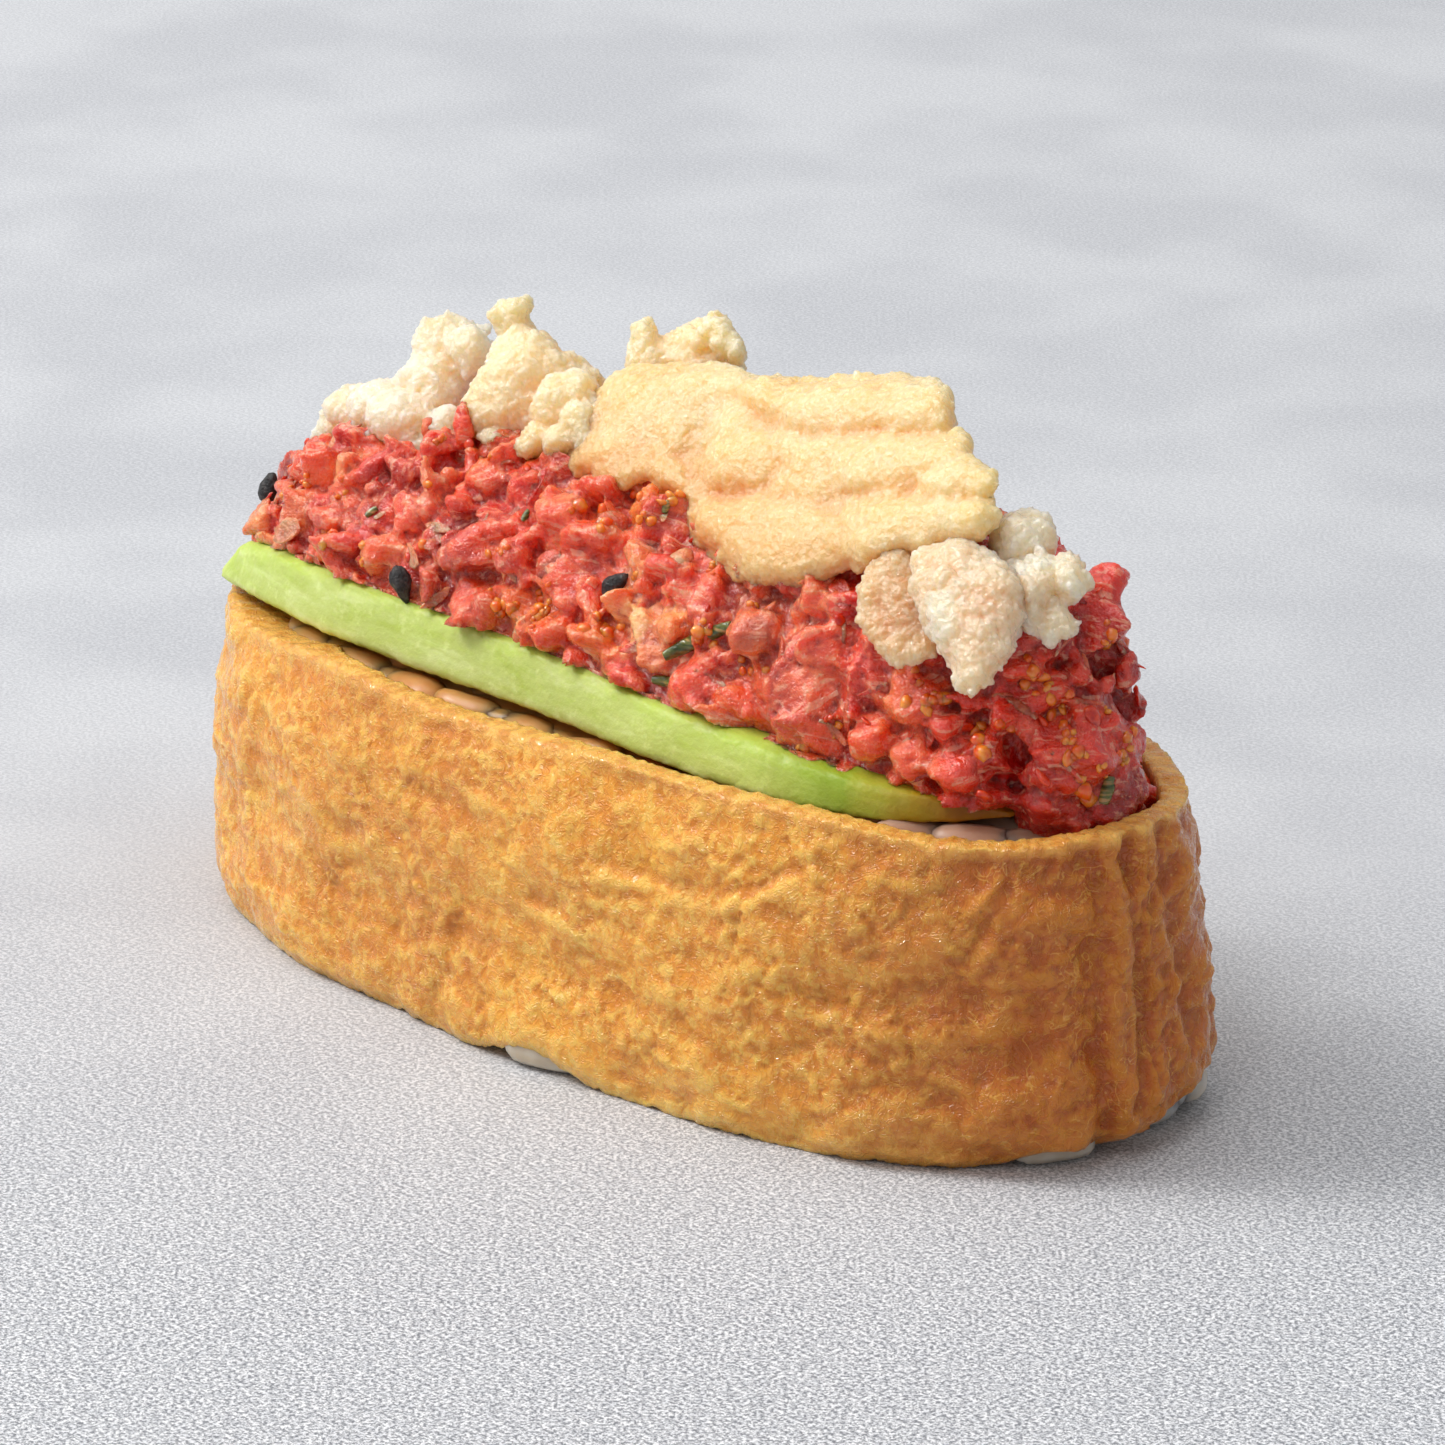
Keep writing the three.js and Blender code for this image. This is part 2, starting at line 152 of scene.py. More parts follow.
def cells(P, seed=0):
    """Distance to the nearest and to the second nearest scattered point, and a number 0..1 for the nearest."""
    f = np.floor(P)
    i = f.astype(np.int64)
    f1 = np.full(len(P), 9.0)
    f2 = np.full(len(P), 9.0)
    who = np.zeros(len(P))
    for dx in (-1, 0, 1):
        for dy in (-1, 0, 1):
            for dz in (-1, 0, 1):
                c = (i[:, 0] + dx, i[:, 1] + dy, i[:, 2] + dz)
                h = _hash(*c, seed)
                q = np.stack([(h & 1023) / 1023, ((h >> 10) & 1023) / 1023, ((h >> 20) & 1023) / 1023], 1)
                d = np.sqrt(((f + [dx, dy, dz] + q - P) ** 2).sum(1))
                near = d < f1
                f2 = np.where(near, f1, np.minimum(f2, d))
                who = np.where(near, (h & 4095) / 4095, who)
                f1 = np.minimum(f1, d)
    return f1, f2, who


# ---- the shapes' own formulas, as in the CAD ------------------------------------------------------------------------
_t = np.arange(1441) / 1440 * 2 * np.pi
OX, OY = sgnpow(np.cos(_t), 2 / PLAN_N) * 38, sgnpow(np.sin(_t), 2 / PLAN_N) * 16.5
OL = np.concatenate([[0], np.cumsum(np.hypot(np.diff(OX), np.diff(OY)))])
ROUND = OL[-1]


def oval_unit(s):
    w = np.mod(s, 1) * ROUND
    return np.interp(w, OL, OX) / 38, np.interp(w, OL, OY) / 16.5


def share_at(x, y):
    return OL[np.argmin(np.hypot(OX[:-1] - x, OY[:-1] - y))] / ROUND


def wrap(d):
    return d - np.round(d)


LIFT_AT = [(share_at(x, y), h, w / ROUND) for x, y, h, w in LIFTS]


def lift(s):
    return sum(h * np.exp(-((wrap(s - a) / w) ** 2)) for a, h, w in LIFT_AT)


def rim_z(s):
    ux, _ = oval_unit(s)
    return (
        RIM[0] + RIM[1] * ux + RIM[2] * ux * ux
        + 0.16 * np.sin(2 * np.pi * 5 * s + 0.9) + 0.14 * np.sin(2 * np.pi * 9 * s + 2.2)
    )


def band_point(s, z, d):
    s, z, d = np.broadcast_arrays(np.asarray(s, float), np.asarray(z, float), np.asarray(d, float))
    v = np.clip(z / BAND_H, 0, 1)
    ux, uy = oval_unit(s)
    a = np.where(ux < 0, along(PROFILE, v, 1), along(PROFILE, v, 2))
    b = along(PROFILE, v, 3)
    nx, ny = sgnpow(ux, PLAN_N - 1) / a, sgnpow(uy, PLAN_N - 1) / b
    nl = np.hypot(nx, ny) + 1e-12
    out = -d + 0.35 * lumps(ux * a, uy * b, z, 0.33)
    return np.stack([ux * a + nx / nl * out, uy * b + ny / nl * out, z], -1), np.stack([nx / nl, ny / nl, 0 * z], -1)


def heap_top(x, y):
    fx = np.abs((x - HX) / HA)
    R = x > HX
    n = np.where(R, HN[1], HN[0])
    half = HB * np.maximum(0, 1 - fx**n) ** (1 / n)
    t = np.where(half > 1e-6, np.minimum(1, np.abs((y - HY) / np.maximum(half, 1e-6))), 1)
    q = np.where(R, HEAP_END[1], HEAP_END[0])
    return HZ + (HEAP_H + HEAP_RISE * x) * np.maximum(0, 1 - t**2.2) ** 0.5 * np.maximum(0, 1 - fx**q) ** 0.35


# the camera's place, used to turn the digitised lumps to the side they were measured from
CAM_AZ, CAM_EL, CAM_D, CAM_SX, CAM_SZ = math.radians(45.629), math.radians(20.0), 439.488, 2.1355, 15.799
BACK = np.array([math.sin(CAM_AZ) * math.cos(CAM_EL), -math.cos(CAM_AZ) * math.cos(CAM_EL), math.sin(CAM_EL)])
RIGHT = np.array([math.cos(CAM_AZ), math.sin(CAM_AZ), 0.0])
UP = np.cross(BACK, RIGHT)


# ---- meshes ---------------------------------------------------------------------------------------------------------
def mesh_of(name, verts, faces, smooth_shade=True):
    """A mesh object from arrays, in millimetres until placed()."""
    faces = np.asarray(faces, np.int32)
    k = faces.shape[1]
    me = bpy.data.meshes.new(name)
    me.vertices.add(len(verts))
    me.vertices.foreach_set("co", np.asarray(verts, np.float32).ravel())
    me.loops.add(faces.size)
    me.loops.foreach_set("vertex_index", faces.ravel())
    me.polygons.add(len(faces))
    me.polygons.foreach_set("loop_start", np.arange(len(faces), dtype=np.int32) * k)
    me.update(calc_edges=True)
    me.validate()
    me.polygons.foreach_set("use_smooth", np.full(len(me.polygons), smooth_shade))
    ob = bpy.data.objects.new(name, me)
    bpy.context.scene.collection.objects.link(ob)
    return ob


def coords(ob):
    co = np.zeros(len(ob.data.vertices) * 3, np.float32)
    ob.data.vertices.foreach_get("co", co)
    return co.reshape(-1, 3).astype(float)


def normals(ob):
    n = np.zeros(len(ob.data.vertices) * 3, np.float32)
    ob.data.vertex_normals.foreach_get("vector", n)
    return n.reshape(-1, 3).astype(float)


def set_coords(ob, co):
    ob.data.vertices.foreach_set("co", np.asarray(co, np.float32).ravel())
    ob.data.update()


def paint(ob, name, values):
    """A number or a colour for every vertex, that the material reads."""
    values = np.asarray(values, np.float32)
    if values.ndim == 1:
        a = ob.data.attributes.new(name, "FLOAT", "POINT")
        a.data.foreach_set("value", values)
    else:
        a = ob.data.attributes.new(name, "FLOAT_COLOR", "POINT")
        rgba = np.ones((len(values), 4), np.float32)
        rgba[:, :3] = values[:, :3]
        a.data.foreach_set("color", rgba.ravel())


def hoop(rings):
    """Faces for rings of points: (R, n, 3), closed both ways."""
    R, n = rings.shape[:2]
    i, j = np.meshgrid(np.arange(R), np.arange(n), indexing="ij")
    i2, j2 = (i + 1) % R, (j + 1) % n
    return np.stack([i * n + j, i * n + j2, i2 * n + j2, i2 * n + j], -1).reshape(-1, 4)


def stack(name, rings):
    """A closed skin over a stack of rings, with a fan of triangles at each end."""
    R, n = rings.shape[:2]
    verts = np.concatenate([rings.reshape(-1, 3), rings[0].mean(0)[None], rings[-1].mean(0)[None]])
    tri = []
    for i in range(R - 1):
        j = np.arange(n)
        a, b, c, d = i * n + j, i * n + (j + 1) % n, (i + 1) * n + (j + 1) % n, (i + 1) * n + j
        tri += [np.stack([a, b, c], 1), np.stack([a, c, d], 1)]
    j = np.arange(n)
    tri += [np.stack([np.full(n, R * n), (j + 1) % n, j], 1)]
    tri += [np.stack([np.full(n, R * n + 1), (R - 1) * n + j, (R - 1) * n + (j + 1) % n], 1)]
    ob = mesh_of(name, verts, np.concatenate(tri))
    turn_out(ob)
    return ob


def turn_out(ob):
    bm = bmesh.new()
    bm.from_mesh(ob.data)
    bmesh.ops.recalc_face_normals(bm, faces=bm.faces)
    bm.to_mesh(ob.data)
    bm.free()


def ico(level):
    bm = bmesh.new()
    bmesh.ops.create_icosphere(bm, subdivisions=level, radius=1.0)
    v = np.array([x.co[:] for x in bm.verts])
    f = np.array([[x.index for x in y.verts] for y in bm.faces])
    bm.free()
    return v, f


ICO = {k: ico(k) for k in (2, 3, 4)}


def spin(rng):
    """A random rotation matrix."""
    q = rng.normal(size=4)
    q /= np.linalg.norm(q)
    w, x, y, z = q
    return np.array([
        [1 - 2 * (y * y + z * z), 2 * (x * y - z * w), 2 * (x * z + y * w)],
        [2 * (x * y + z * w), 1 - 2 * (x * x + z * z), 2 * (y * z - x * w)],
        [2 * (x * z - y * w), 2 * (y * z + x * w), 1 - 2 * (x * x + y * y)],
    ])


def joined(parts):
    """Many (verts, faces) as one."""
    v, f, n = [], [], 0
    for a, b in parts:
        v.append(a)
        f.append(b + n)
        n += len(a)
    return np.concatenate(v), np.concatenate(f)


def remeshed(name, verts, faces, voxel, limit=None):
    """The union of overlapping closed shapes as one skin."""
    raw = mesh_of(name + "_raw", verts, faces)
    mod = raw.modifiers.new("skin", "REMESH")
    mod.mode = "VOXEL"
    mod.voxel_size = voxel
    mod.use_smooth_shade = True
    dg = bpy.context.evaluated_depsgraph_get()
    me = bpy.data.meshes.new_from_object(raw.evaluated_get(dg))
    bpy.data.objects.remove(raw)
    ob = bpy.data.objects.new(name, me)
    me.name = name
    bpy.context.scene.collection.objects.link(ob)
    me.polygons.foreach_set("use_smooth", np.full(len(me.polygons), True))
    # only the outer skin: loose inner bubbles and crumbs are dropped
    bm = bmesh.new()
    bm.from_mesh(me)
    seen, groups = set(), []
    for v in bm.verts:
        if v.index in seen:
            continue
        group, todo = [], [v]
        seen.add(v.index)
        while todo:
            a = todo.pop()
            group.append(a)
            for e in a.link_edges:
                b = e.other_vert(a)
                if b.index not in seen:
                    seen.add(b.index)
                    todo.append(b)
        groups.append(group)
    groups.sort(key=len, reverse=True)
    drop = [v for g in groups[1:] for v in g]
    if drop:
        bmesh.ops.delete(bm, geom=drop, context="VERTS")
    bm.to_mesh(me)
    bm.free()
    me.update()
    if limit and 2 * len(me.polygons) > limit:
        fewer = ob.modifiers.new("fewer", "DECIMATE")
        fewer.ratio = limit / (2 * len(me.polygons))
        dg = bpy.context.evaluated_depsgraph_get()
        thin = bpy.data.meshes.new_from_object(ob.evaluated_get(dg))
        ob.modifiers.clear()
        ob.data = thin
        bpy.data.meshes.remove(me)
        me = thin
        me.name = name
    me.polygons.foreach_set("use_smooth", np.full(len(me.polygons), True))
    return ob


def relax(ob, times=1, share=0.5):
    """Evens the skin out a little by moving each point towards its neighbours."""
    me = ob.data
    e = np.zeros(len(me.edges) * 2, np.int32)
    me.edges.foreach_get("vertices", e)
    e = e.reshape(-1, 2)
    co = coords(ob)
    count = np.bincount(e.ravel(), minlength=len(co))[:, None]
    for _ in range(times):
        total = np.zeros_like(co)
        for k in range(3):
            total[:, k] = np.bincount(e[:, 0], co[e[:, 1], k], len(co)) + np.bincount(e[:, 1], co[e[:, 0], k], len(co))
        co = co + share * (total / np.maximum(1, count) - co)
    set_coords(ob, co)


def hollows(ob, times=6):
    """How deep each point of the skin lies among its neighbours: above 0 in a groove, below 0 on a crown."""
    me = ob.data
    e = np.zeros(len(me.edges) * 2, np.int32)
    me.edges.foreach_get("vertices", e)
    e = e.reshape(-1, 2)
    co0 = coords(ob)
    co = co0.copy()
    count = np.bincount(e.ravel(), minlength=len(co))[:, None]
    for _ in range(times):
        total = np.zeros_like(co)
        for k in range(3):
            total[:, k] = np.bincount(e[:, 0], co[e[:, 1], k], len(co)) + np.bincount(e[:, 1], co[e[:, 0], k], len(co))
        co = co + 0.6 * (total / np.maximum(1, count) - co)
    return ((co - co0) * normals(ob)).sum(1)


def placed(ob, slot, *replaces):
    set_coords(ob, (coords(ob) + SHIFT) * MM)
    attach(ob, "root")
    if replaces:
        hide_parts(*replaces)
    return ob


# ---- materials ------------------------------------------------------------------------------------------------------
class Mat:
    """A small helper to lay out a node material. Sizes are in millimetres of the object."""

    def __init__(self, name):
        self.m = bpy.data.materials.new(name)
        self.m.use_nodes = True
        self.t = self.m.node_tree
        self.b = self.t.nodes["Principled BSDF"]
        self.out = self.t.nodes["Material Output"]
        self.co = self.t.nodes.new("ShaderNodeTexCoord").outputs["Object"]

    def node(self, kind, **props):
        n = self.t.nodes.new(kind)
        for k, v in props.items():
            setattr(n, k, v)
        return n

    def put(self, socket, value):
        if isinstance(value, bpy.types.NodeSocket):
            self.t.links.new(value, socket)
        else:
            socket.default_value = value

    def set(self, **values):
        for k, v in values.items():
            self.put(self.b.inputs[k.replace("_", " ")], v)

    def scaled(self, x, y=None, z=None, turn=(0, 0, 0)):
        """Object coordinates where one unit is x, y, z millimetres."""
        y = x if y is None else y
        z = x if z is None else z
        n = self.node("ShaderNodeMapping")
        n.inputs["Rotation"].default_value = turn
        n.inputs["Scale"].default_value = (1000 / x, 1000 / y, 1000 / z)
        self.put(n.inputs["Vector"], self.co)
        return n.outputs["Vector"]

    def noise(self, size, detail=3.0, rough=0.55, distortion=0.0, vector=None):
        n = self.node("ShaderNodeTexNoise")
        n.inputs["Scale"].default_value = 1.0
        n.inputs["Detail"].default_value = detail
        n.inputs["Roughness"].default_value = rough
        n.inputs["Distortion"].default_value = distortion
        self.put(n.inputs["Vector"], vector if vector is not None else self.scaled(size))
        return n.outputs["Fac"]

    def cells(self, size, feature="F1", vector=None, out="Distance", smoothness=None):
        n = self.node("ShaderNodeTexVoronoi", feature=feature)
        n.inputs["Scale"].default_value = 1.0
        if smoothness is not None:
            n.inputs["Smoothness"].default_value = smoothness
        self.put(n.inputs["Vector"], vector if vector is not None else self.scaled(size))
        return n.outputs[out]

    def ramp(self, fac, *stops, interpolation="EASE"):
        n = self.node("ShaderNodeValToRGB")
        n.color_ramp.interpolation = interpolation
        while len(n.color_ramp.elements) < len(stops):
            n.color_ramp.elements.new(0.5)
        for e, (at, colour) in zip(n.color_ramp.elements, stops):
            e.position = at
            e.color = (*colour, 1) if isinstance(colour, tuple) else (colour, colour, colour, 1)
        self.put(n.inputs["Fac"], fac)
        return n.outputs["Color"]

    def mix(self, fac, a, b, how="MIX"):
        n = self.node("ShaderNodeMix", data_type="RGBA", blend_type=how)
        self.put(n.inputs["Factor"], fac)
        self.put(n.inputs["A"], (*a, 1) if isinstance(a, tuple) else a)
        self.put(n.inputs["B"], (*b, 1) if isinstance(b, tuple) else b)
        return n.outputs["Result"]

    def math(self, how, a, b=0.0, c=0.0):
        n = self.node("ShaderNodeMath", operation=how)
        self.put(n.inputs[0], a)
        self.put(n.inputs[1], b)
        self.put(n.inputs[2], c)
        return n.outputs[0]

    def remap(self, v, lo, hi, to_lo=0.0, to_hi=1.0):
        n = self.node("ShaderNodeMapRange")
        self.put(n.inputs["Value"], v)
        for k, x in (("From Min", lo), ("From Max", hi), ("To Min", to_lo), ("To Max", to_hi)):
            n.inputs[k].default_value = x
        return n.outputs["Result"]

    def attr(self, name, out="Color"):
        n = self.node("ShaderNodeAttribute", attribute_name=name)
        return n.outputs[out]

    def bump(self, *layers):
        """layers: (height socket, strength, distance in mm), the first is the coarsest."""
        normal = None
        for h, strength, mm in layers:
            n = self.node("ShaderNodeBump")
            n.inputs["Strength"].default_value = strength
            n.inputs["Distance"].default_value = mm * MM
            self.put(n.inputs["Height"], h)
            if normal is not None:
                self.put(n.inputs["Normal"], normal)
            normal = n.outputs["Normal"]
        self.put(self.b.inputs["Normal"], normal)
        return normal


def rgb(r, g, b):
    """An sRGB colour, 0..255, as the linear colour that a shader takes."""
    def lin(c):
        c /= 255
        return c / 12.92 if c <= 0.04045 else ((c + 0.055) / 1.055) ** 2.4
    return (lin(r), lin(g), lin(b))


# ---- tofu band ------------------------------------------------------------------------------------------------------
# creases in the skin: points (share of the way round, height), depth and half width in mm
CREASES = (
    (((0.7915, 14.2), (0.8165, 14.3), (0.833, 14.3), (0.849, 14.6), (0.862, 15.4), (0.8745, 16.8), (0.886, 17.8)), 0.46, 0.42),
    (((0.8590, 15.0), (0.8595, 13.6), (0.8600, 12.0)), 0.34, 0.40),
    (((0.762, 10.8), (0.775, 10.6), (0.7935, 10.6), (0.8115, 11.0), (0.826, 10.8)), 0.30, 0.50),
    (((0.735, 7.6), (0.7335, 6.0), (0.7315, 4.0), (0.7255, 1.0)), 0.50, 0.60),
    (((0.951, 19.0), (0.9455, 16.7), (0.9395, 14.3), (0.934, 12.8)), 0.30, 0.50),
    (((0.700, 14.0), (0.716, 14.7), (0.731, 14.8), (0.742, 14.2)), 0.24, 0.50),
    (((0.880, 10.6), (0.888, 9.6), (0.902, 9.3), (0.914, 9.9)), 0.26, 0.50),
    (((0.905, 5.6), (0.918, 4.6), (0.934, 4.9)), 0.22, 0.45),
    (((0.658, 12.0), (0.672, 10.6), (0.684, 10.9)), 0.26, 0.55),
    (((0.62, 16.0), (0.612, 11.0), (0.616, 6.0)), 0.30, 0.70),
    (((0.35, 15.8), (0.33, 14.6), (0.30, 15.0), (0.275, 16.0)), 0.40, 0.55),
    (((0.20, 9.0), (0.18, 8.2), (0.155, 8.8), (0.14, 10.2)), 0.36, 0.55),
    (((0.41, 3.0), (0.405, 7.0), (0.41, 11.0)), 0.34, 0.6),
    (((0.24, 1.0), (0.243, 4.0), (0.239, 6.5)), 0.40, 0.55),
    (((0.10, 4.0), (0.108, 8.0), (0.104, 13.0)), 0.30, 0.55),
)
# upright pleats at the +X end: points (share of the way round, height), depth, half width on either side
PLEATS = (
    (((0.9855, 1.2), (0.981, 6.6), (0.9815, 10.8), (0.982, 14.6), (0.981, 17.7), (0.977, 20.0)), 0.75, 1.15, 0.55),
    (((0.9925, 3.7), (0.9970, 6.5), (0.9975, 9.5), (0.995, 13.1), (0.9955, 15.9), (0.992, 19.2)), 0.85, 0.50, 0.85),
    (((0.0210, 4.0), (0.0170, 10.9), (0.0105, 15.2), (0.0085, 19.1)), 0.65, 0.60, 1.10),
    (((0.0440, 2.0), (0.0400, 9.0), (0.0420, 18.0)), 0.30, 1.20, 0.60),
)


def domes(P, size, seed, share=1.0):
    """Round blisters: 0 between them, 1 on their crowns."""
    f1, _, who = cells(P / size, seed)
    r = 0.42 + 0.30 * who
    return np.sqrt(np.clip(1 - (f1 / r) ** 2, 0, 1) + 1e-9) * (who < share)


def skin_relief(S, Z, P):
    """How far each point of the outer skin stands out of the plain band, in mm."""
    W = P + 0.8 * np.stack([fbm(P * 0.4 + 5, 2, 11), fbm(P * 0.4 + 55, 2, 12), fbm(P * 0.4 + 105, 2, 13)], 1)
    patch = smooth(-0.22, 0.30, fbm(P * 0.20 + 31, 2, 14))
    patch2 = smooth(-0.12, 0.28, fbm(P * 0.27 + 71, 2, 15))
    # the +X end is wetter and more crumpled
    soaked = smooth(0.0, 26.0, P[:, 0])
    d = 0.46 * fbm(P * 0.13, 2, 1)
    d += (0.36 + 0.12 * soaked) * fbm(W * np.array([0.24, 0.24, 0.32]), 2, 2)
    d += (0.13 + 0.10 * soaked) * (0.35 + 1.1 * patch2) * fbm(W * np.array([0.6, 0.6, 0.75]), 2, 3)
    d += (0.08 + 0.04 * soaked) * (0.4 + patch) * fbm(W * 1.5, 2, 4)
    # blisters of the fried skin
    d += 0.10 * patch * domes(W, 2.1, 5, 0.7)
    d += 0.13 * patch2 * domes(W + 40, 1.25, 6, 0.8)
    d += 0.07 * (0.4 + patch) * domes(W + 80, 0.85, 7, 0.8)
    d += 0.03 * fbm(P * 3.2, 2, 8)
    # short thin wrinkles, mostly level
    thin = np.clip(1 - 5.5 * np.abs(fbm(W * np.array([0.34, 0.34, 1.25]), 2, 9)), 0, 1) ** 1.5
    d -= 0.15 * thin * smooth(-0.05, 0.30, fbm(P * 0.3 + 11, 2, 10))
    # long soft folds that run round the band
    Q = np.stack([P[:, 0] * 0.10, P[:, 1] * 0.10, Z * 0.36], 1) + 0.5 * fbm(P * 0.2, 2, 20)[:, None]
    d += 0.30 * fbm(Q, 2, 21)
    # the named creases
    U = S * ROUND
    wob = 0.60 * fbm(P * 0.7, 2, 24)
    for pts, depth, width in CREASES:
        pts = np.array(pts)
        best = np.full(len(U), 99.0)
        side = np.zeros(len(U))
        share = np.zeros(len(U))
        n = len(pts) - 1
        for k in range(n):
            a = np.array([pts[k][0] * ROUND, pts[k][1]])
            b = np.array([pts[k + 1][0] * ROUND, pts[k + 1][1]])
            q = np.stack([U, Z], 1) - a
            ab = b - a
            L = (ab**2).sum()
            t = np.clip((q @ ab) / L, 0, 1)
            off = q - t[:, None] * ab
            dist = np.hypot(off[:, 0], off[:, 1])
            sgn = np.sign(ab[0] * off[:, 1] - ab[1] * off[:, 0])
            near = dist < best
            best = np.where(near, dist, best)
            side = np.where(near, sgn, side)
            share = np.where(near, (k + t) / n, share)
        fade = np.clip(np.minimum(share, 1 - share) * 5 + 0.25, 0, 1)
        x = (best * side + wob) / width
        d += 0.55 * fade * depth * (0.55 * np.exp(-(((x + 1.9) / 1.5) ** 2)) - np.exp(-(x**2)))
    # pleats
    Sw = wrap(S)
    for k, (pts, depth, before, after) in enumerate(PLEATS):
        pts = np.array(pts)
        at = np.interp(Z, pts[:, 1], wrap(pts[:, 0]))
        x = (Sw - at) * ROUND + 0.30 * fbm(P * 0.5 + k * 9, 2, 25)
        span = smooth(pts[0, 1] - 3.5, pts[0, 1] + 1.5, Z)
        deep = depth * span * (0.72 + 0.9 * fbm(np.stack([0 * Z + k * 5.0, 0 * Z, Z * 0.16], 1), 2, 27))
        d -= deep * np.exp(-((x / np.where(x < 0, before, after)) ** 2))
        d += 0.42 * deep * np.exp(-(((x - after * 1.9) / (after * 1.1)) ** 2))
        d += 0.30 * deep * np.exp(-(((x + before * 1.8) / (before * 1.1)) ** 2))
    # upright crinkles, strongest at the +X end and round the -X end
    ux, uy = oval_unit(S)
    end = smooth(0.80, 1.0, ux) + 0.6 * smooth(0.75, 1.0, -ux)
    d += end * 0.22 * fbm(np.stack([U * 0.45, Z * 0.12, 0 * U], 1), 2, 26)
    # the +X end is fuller than the plain band, the -X end a little slimmer
    d += 0.95 * smooth(0.84, 1.0, ux) * smooth(19.5, 15.0, Z) - 0.30 * smooth(0.80, 1.0, -ux)
    # both ends bulge unevenly, and the foot is scalloped
    d += 0.50 * smooth(0.72, 0.95, np.abs(ux)) * fbm(P * np.array([0.36, 0.36, 0.30]) + 17, 2, 28)
    d += 0.45 * smooth(5.0, 0.0, Z) * fbm(np.stack([U * 0.30, Z * 0.15, 0 * U + 6], 1), 2, 29)
    d -= 0.55 * smooth(0.9, 0.0, Z)
    return d - 0.10


def make_tofu():
    n = 1080
    S = (np.arange(n) + 0.5) / n
    outer = np.concatenate([[0.0, 0.012, 0.03], np.linspace(0.045, 0.96, 69), [0.975, 0.988]])
    rows, info = [], []
    Lf, Rz = lift(S), rim_z(S)
    base_out, N = band_point(S, np.full(n, 10.0), 0)
    edge = 0.30 * fbm(np.stack([S * ROUND * 0.8, 0 * S, 0 * S], 1), 3, 31) + 0.09 * fbm(np.stack([S * ROUND * 2.6, 0 * S, 0 * S + 4], 1), 2, 32)
    # a wavy lower hem
    hem = Lf + 0.62 * np.abs(fbm(np.stack([S * ROUND * 0.45, 0 * S, 0 * S + 8], 1), 2, 33)) + 0.26 * np.abs(fbm(np.stack([S * ROUND * 1.7, 0 * S, 0 * S + 8], 1), 2, 34)) - 0.03
    top = Rz + edge * 0.8
    for v in outer:
        z = hem + (top - hem) * v
        P, N = band_point(S, z, 0.25 * (v < 0.02) * (1 - v / 0.02))
        d = skin_relief(S, z, P)
        k = smooth(0.0, 0.035, v) * 0.75 + 0.25
        P = P + N * (d * k * (1 - 0.6 * smooth(0.95, 1.0, v)))[:, None]
        P[:, 2] += smooth(0.02, 0.12, v) * smooth(0.99, 0.9, v) * 0.12 * fbm(P * 0.7 + 3, 2, 35)
        rows.append(P)
        info.append((v, 0.0))
    # the cut rim: a rough spongy edge, rolled over from the outer skin to the inner wall
    thick = BAND_T * (1 + 0.10 * fbm(np.stack([S * ROUND * 0.3, 0 * S, 0 * S + 2], 1), 2, 36))
    lean = 2.6 * smooth(0.542, 0.560, S) * smooth(0.652, 0.618, S)
    ux, _ = oval_unit(S)
    for k, t in enumerate(np.linspace(0.08, 0.92, 9)):
        P, N = band_point(S, top, (thick + lean) * t)
        pore = fbm(P * 1.5, 3, 37)
        c1, c2, _w = cells(P * 1.25, 38)
        crown = math.sqrt(max(0, 1 - (2 * t - 1) ** 2))
        P[:, 2] = top + 0.20 * crown - 0.10 - 0.9 * (lean / 2.6) * t + 0.10 * pore - (0.16 + 0.3 * smooth(0.8, 1, ux)) * np.clip(0.42 - c1, 0, 1)
        P += N * (0.10 * fbm(P * 2 + 7, 2, 39))[:, None]
        rows.append(P)
        info.append((1.0, t))
    for v in (0.98, 0.94, 0.86, 0.6, 0.2, 0.0):
        z = hem + (top - hem) * v - 0.9 * (lean / 2.6) * smooth(0.8, 0.95, v)
        P, N = band_point(S, z, thick + lean * smooth(0.82, 0.93, v))
        P += N * (0.16 * fbm(P * 0.6 + 2, 3, 40) * (v > 0))[:, None]
        rows.append(P)
        info.append((v, 1.0))
    for t in (0.7, 0.3):
        P, N = band_point(S, hem, thick * t)
        P[:, 2] = hem + 0.05 * np.abs(fbm(P * 1.2, 2, 41))
        rows.append(P)
        info.append((0.0, t))
    R = np.stack(rows)
    R[..., 2] = np.maximum(R[..., 2], 0.02)
    ob = mesh_of("tofu_skin", R.reshape(-1, 3), hoop(R))
    turn_out(ob)
    v = np.repeat([a for a, _ in info], n)
    t = np.repeat([b for _, b in info], n)
    cut = np.where((v >= 0.999), 1.0, np.where(t > 0.5, 0.7, smooth(0.955, 0.99, v) * 0.8))
    paint(ob, "cut", cut)
    hol = hollows(ob, 8)
    plain = (v > 0.05) & (v < 0.95) & (t < 0.5)
    paint(ob, "hollow", np.clip(hol / (5.0 * hol[plain].std()) + 0.5, 0, 1))
    hol = hollows(ob, 60)
    paint(ob, "dip", np.clip(hol / (5.0 * hol[plain].std()) + 0.5, 0, 1))
    return ob


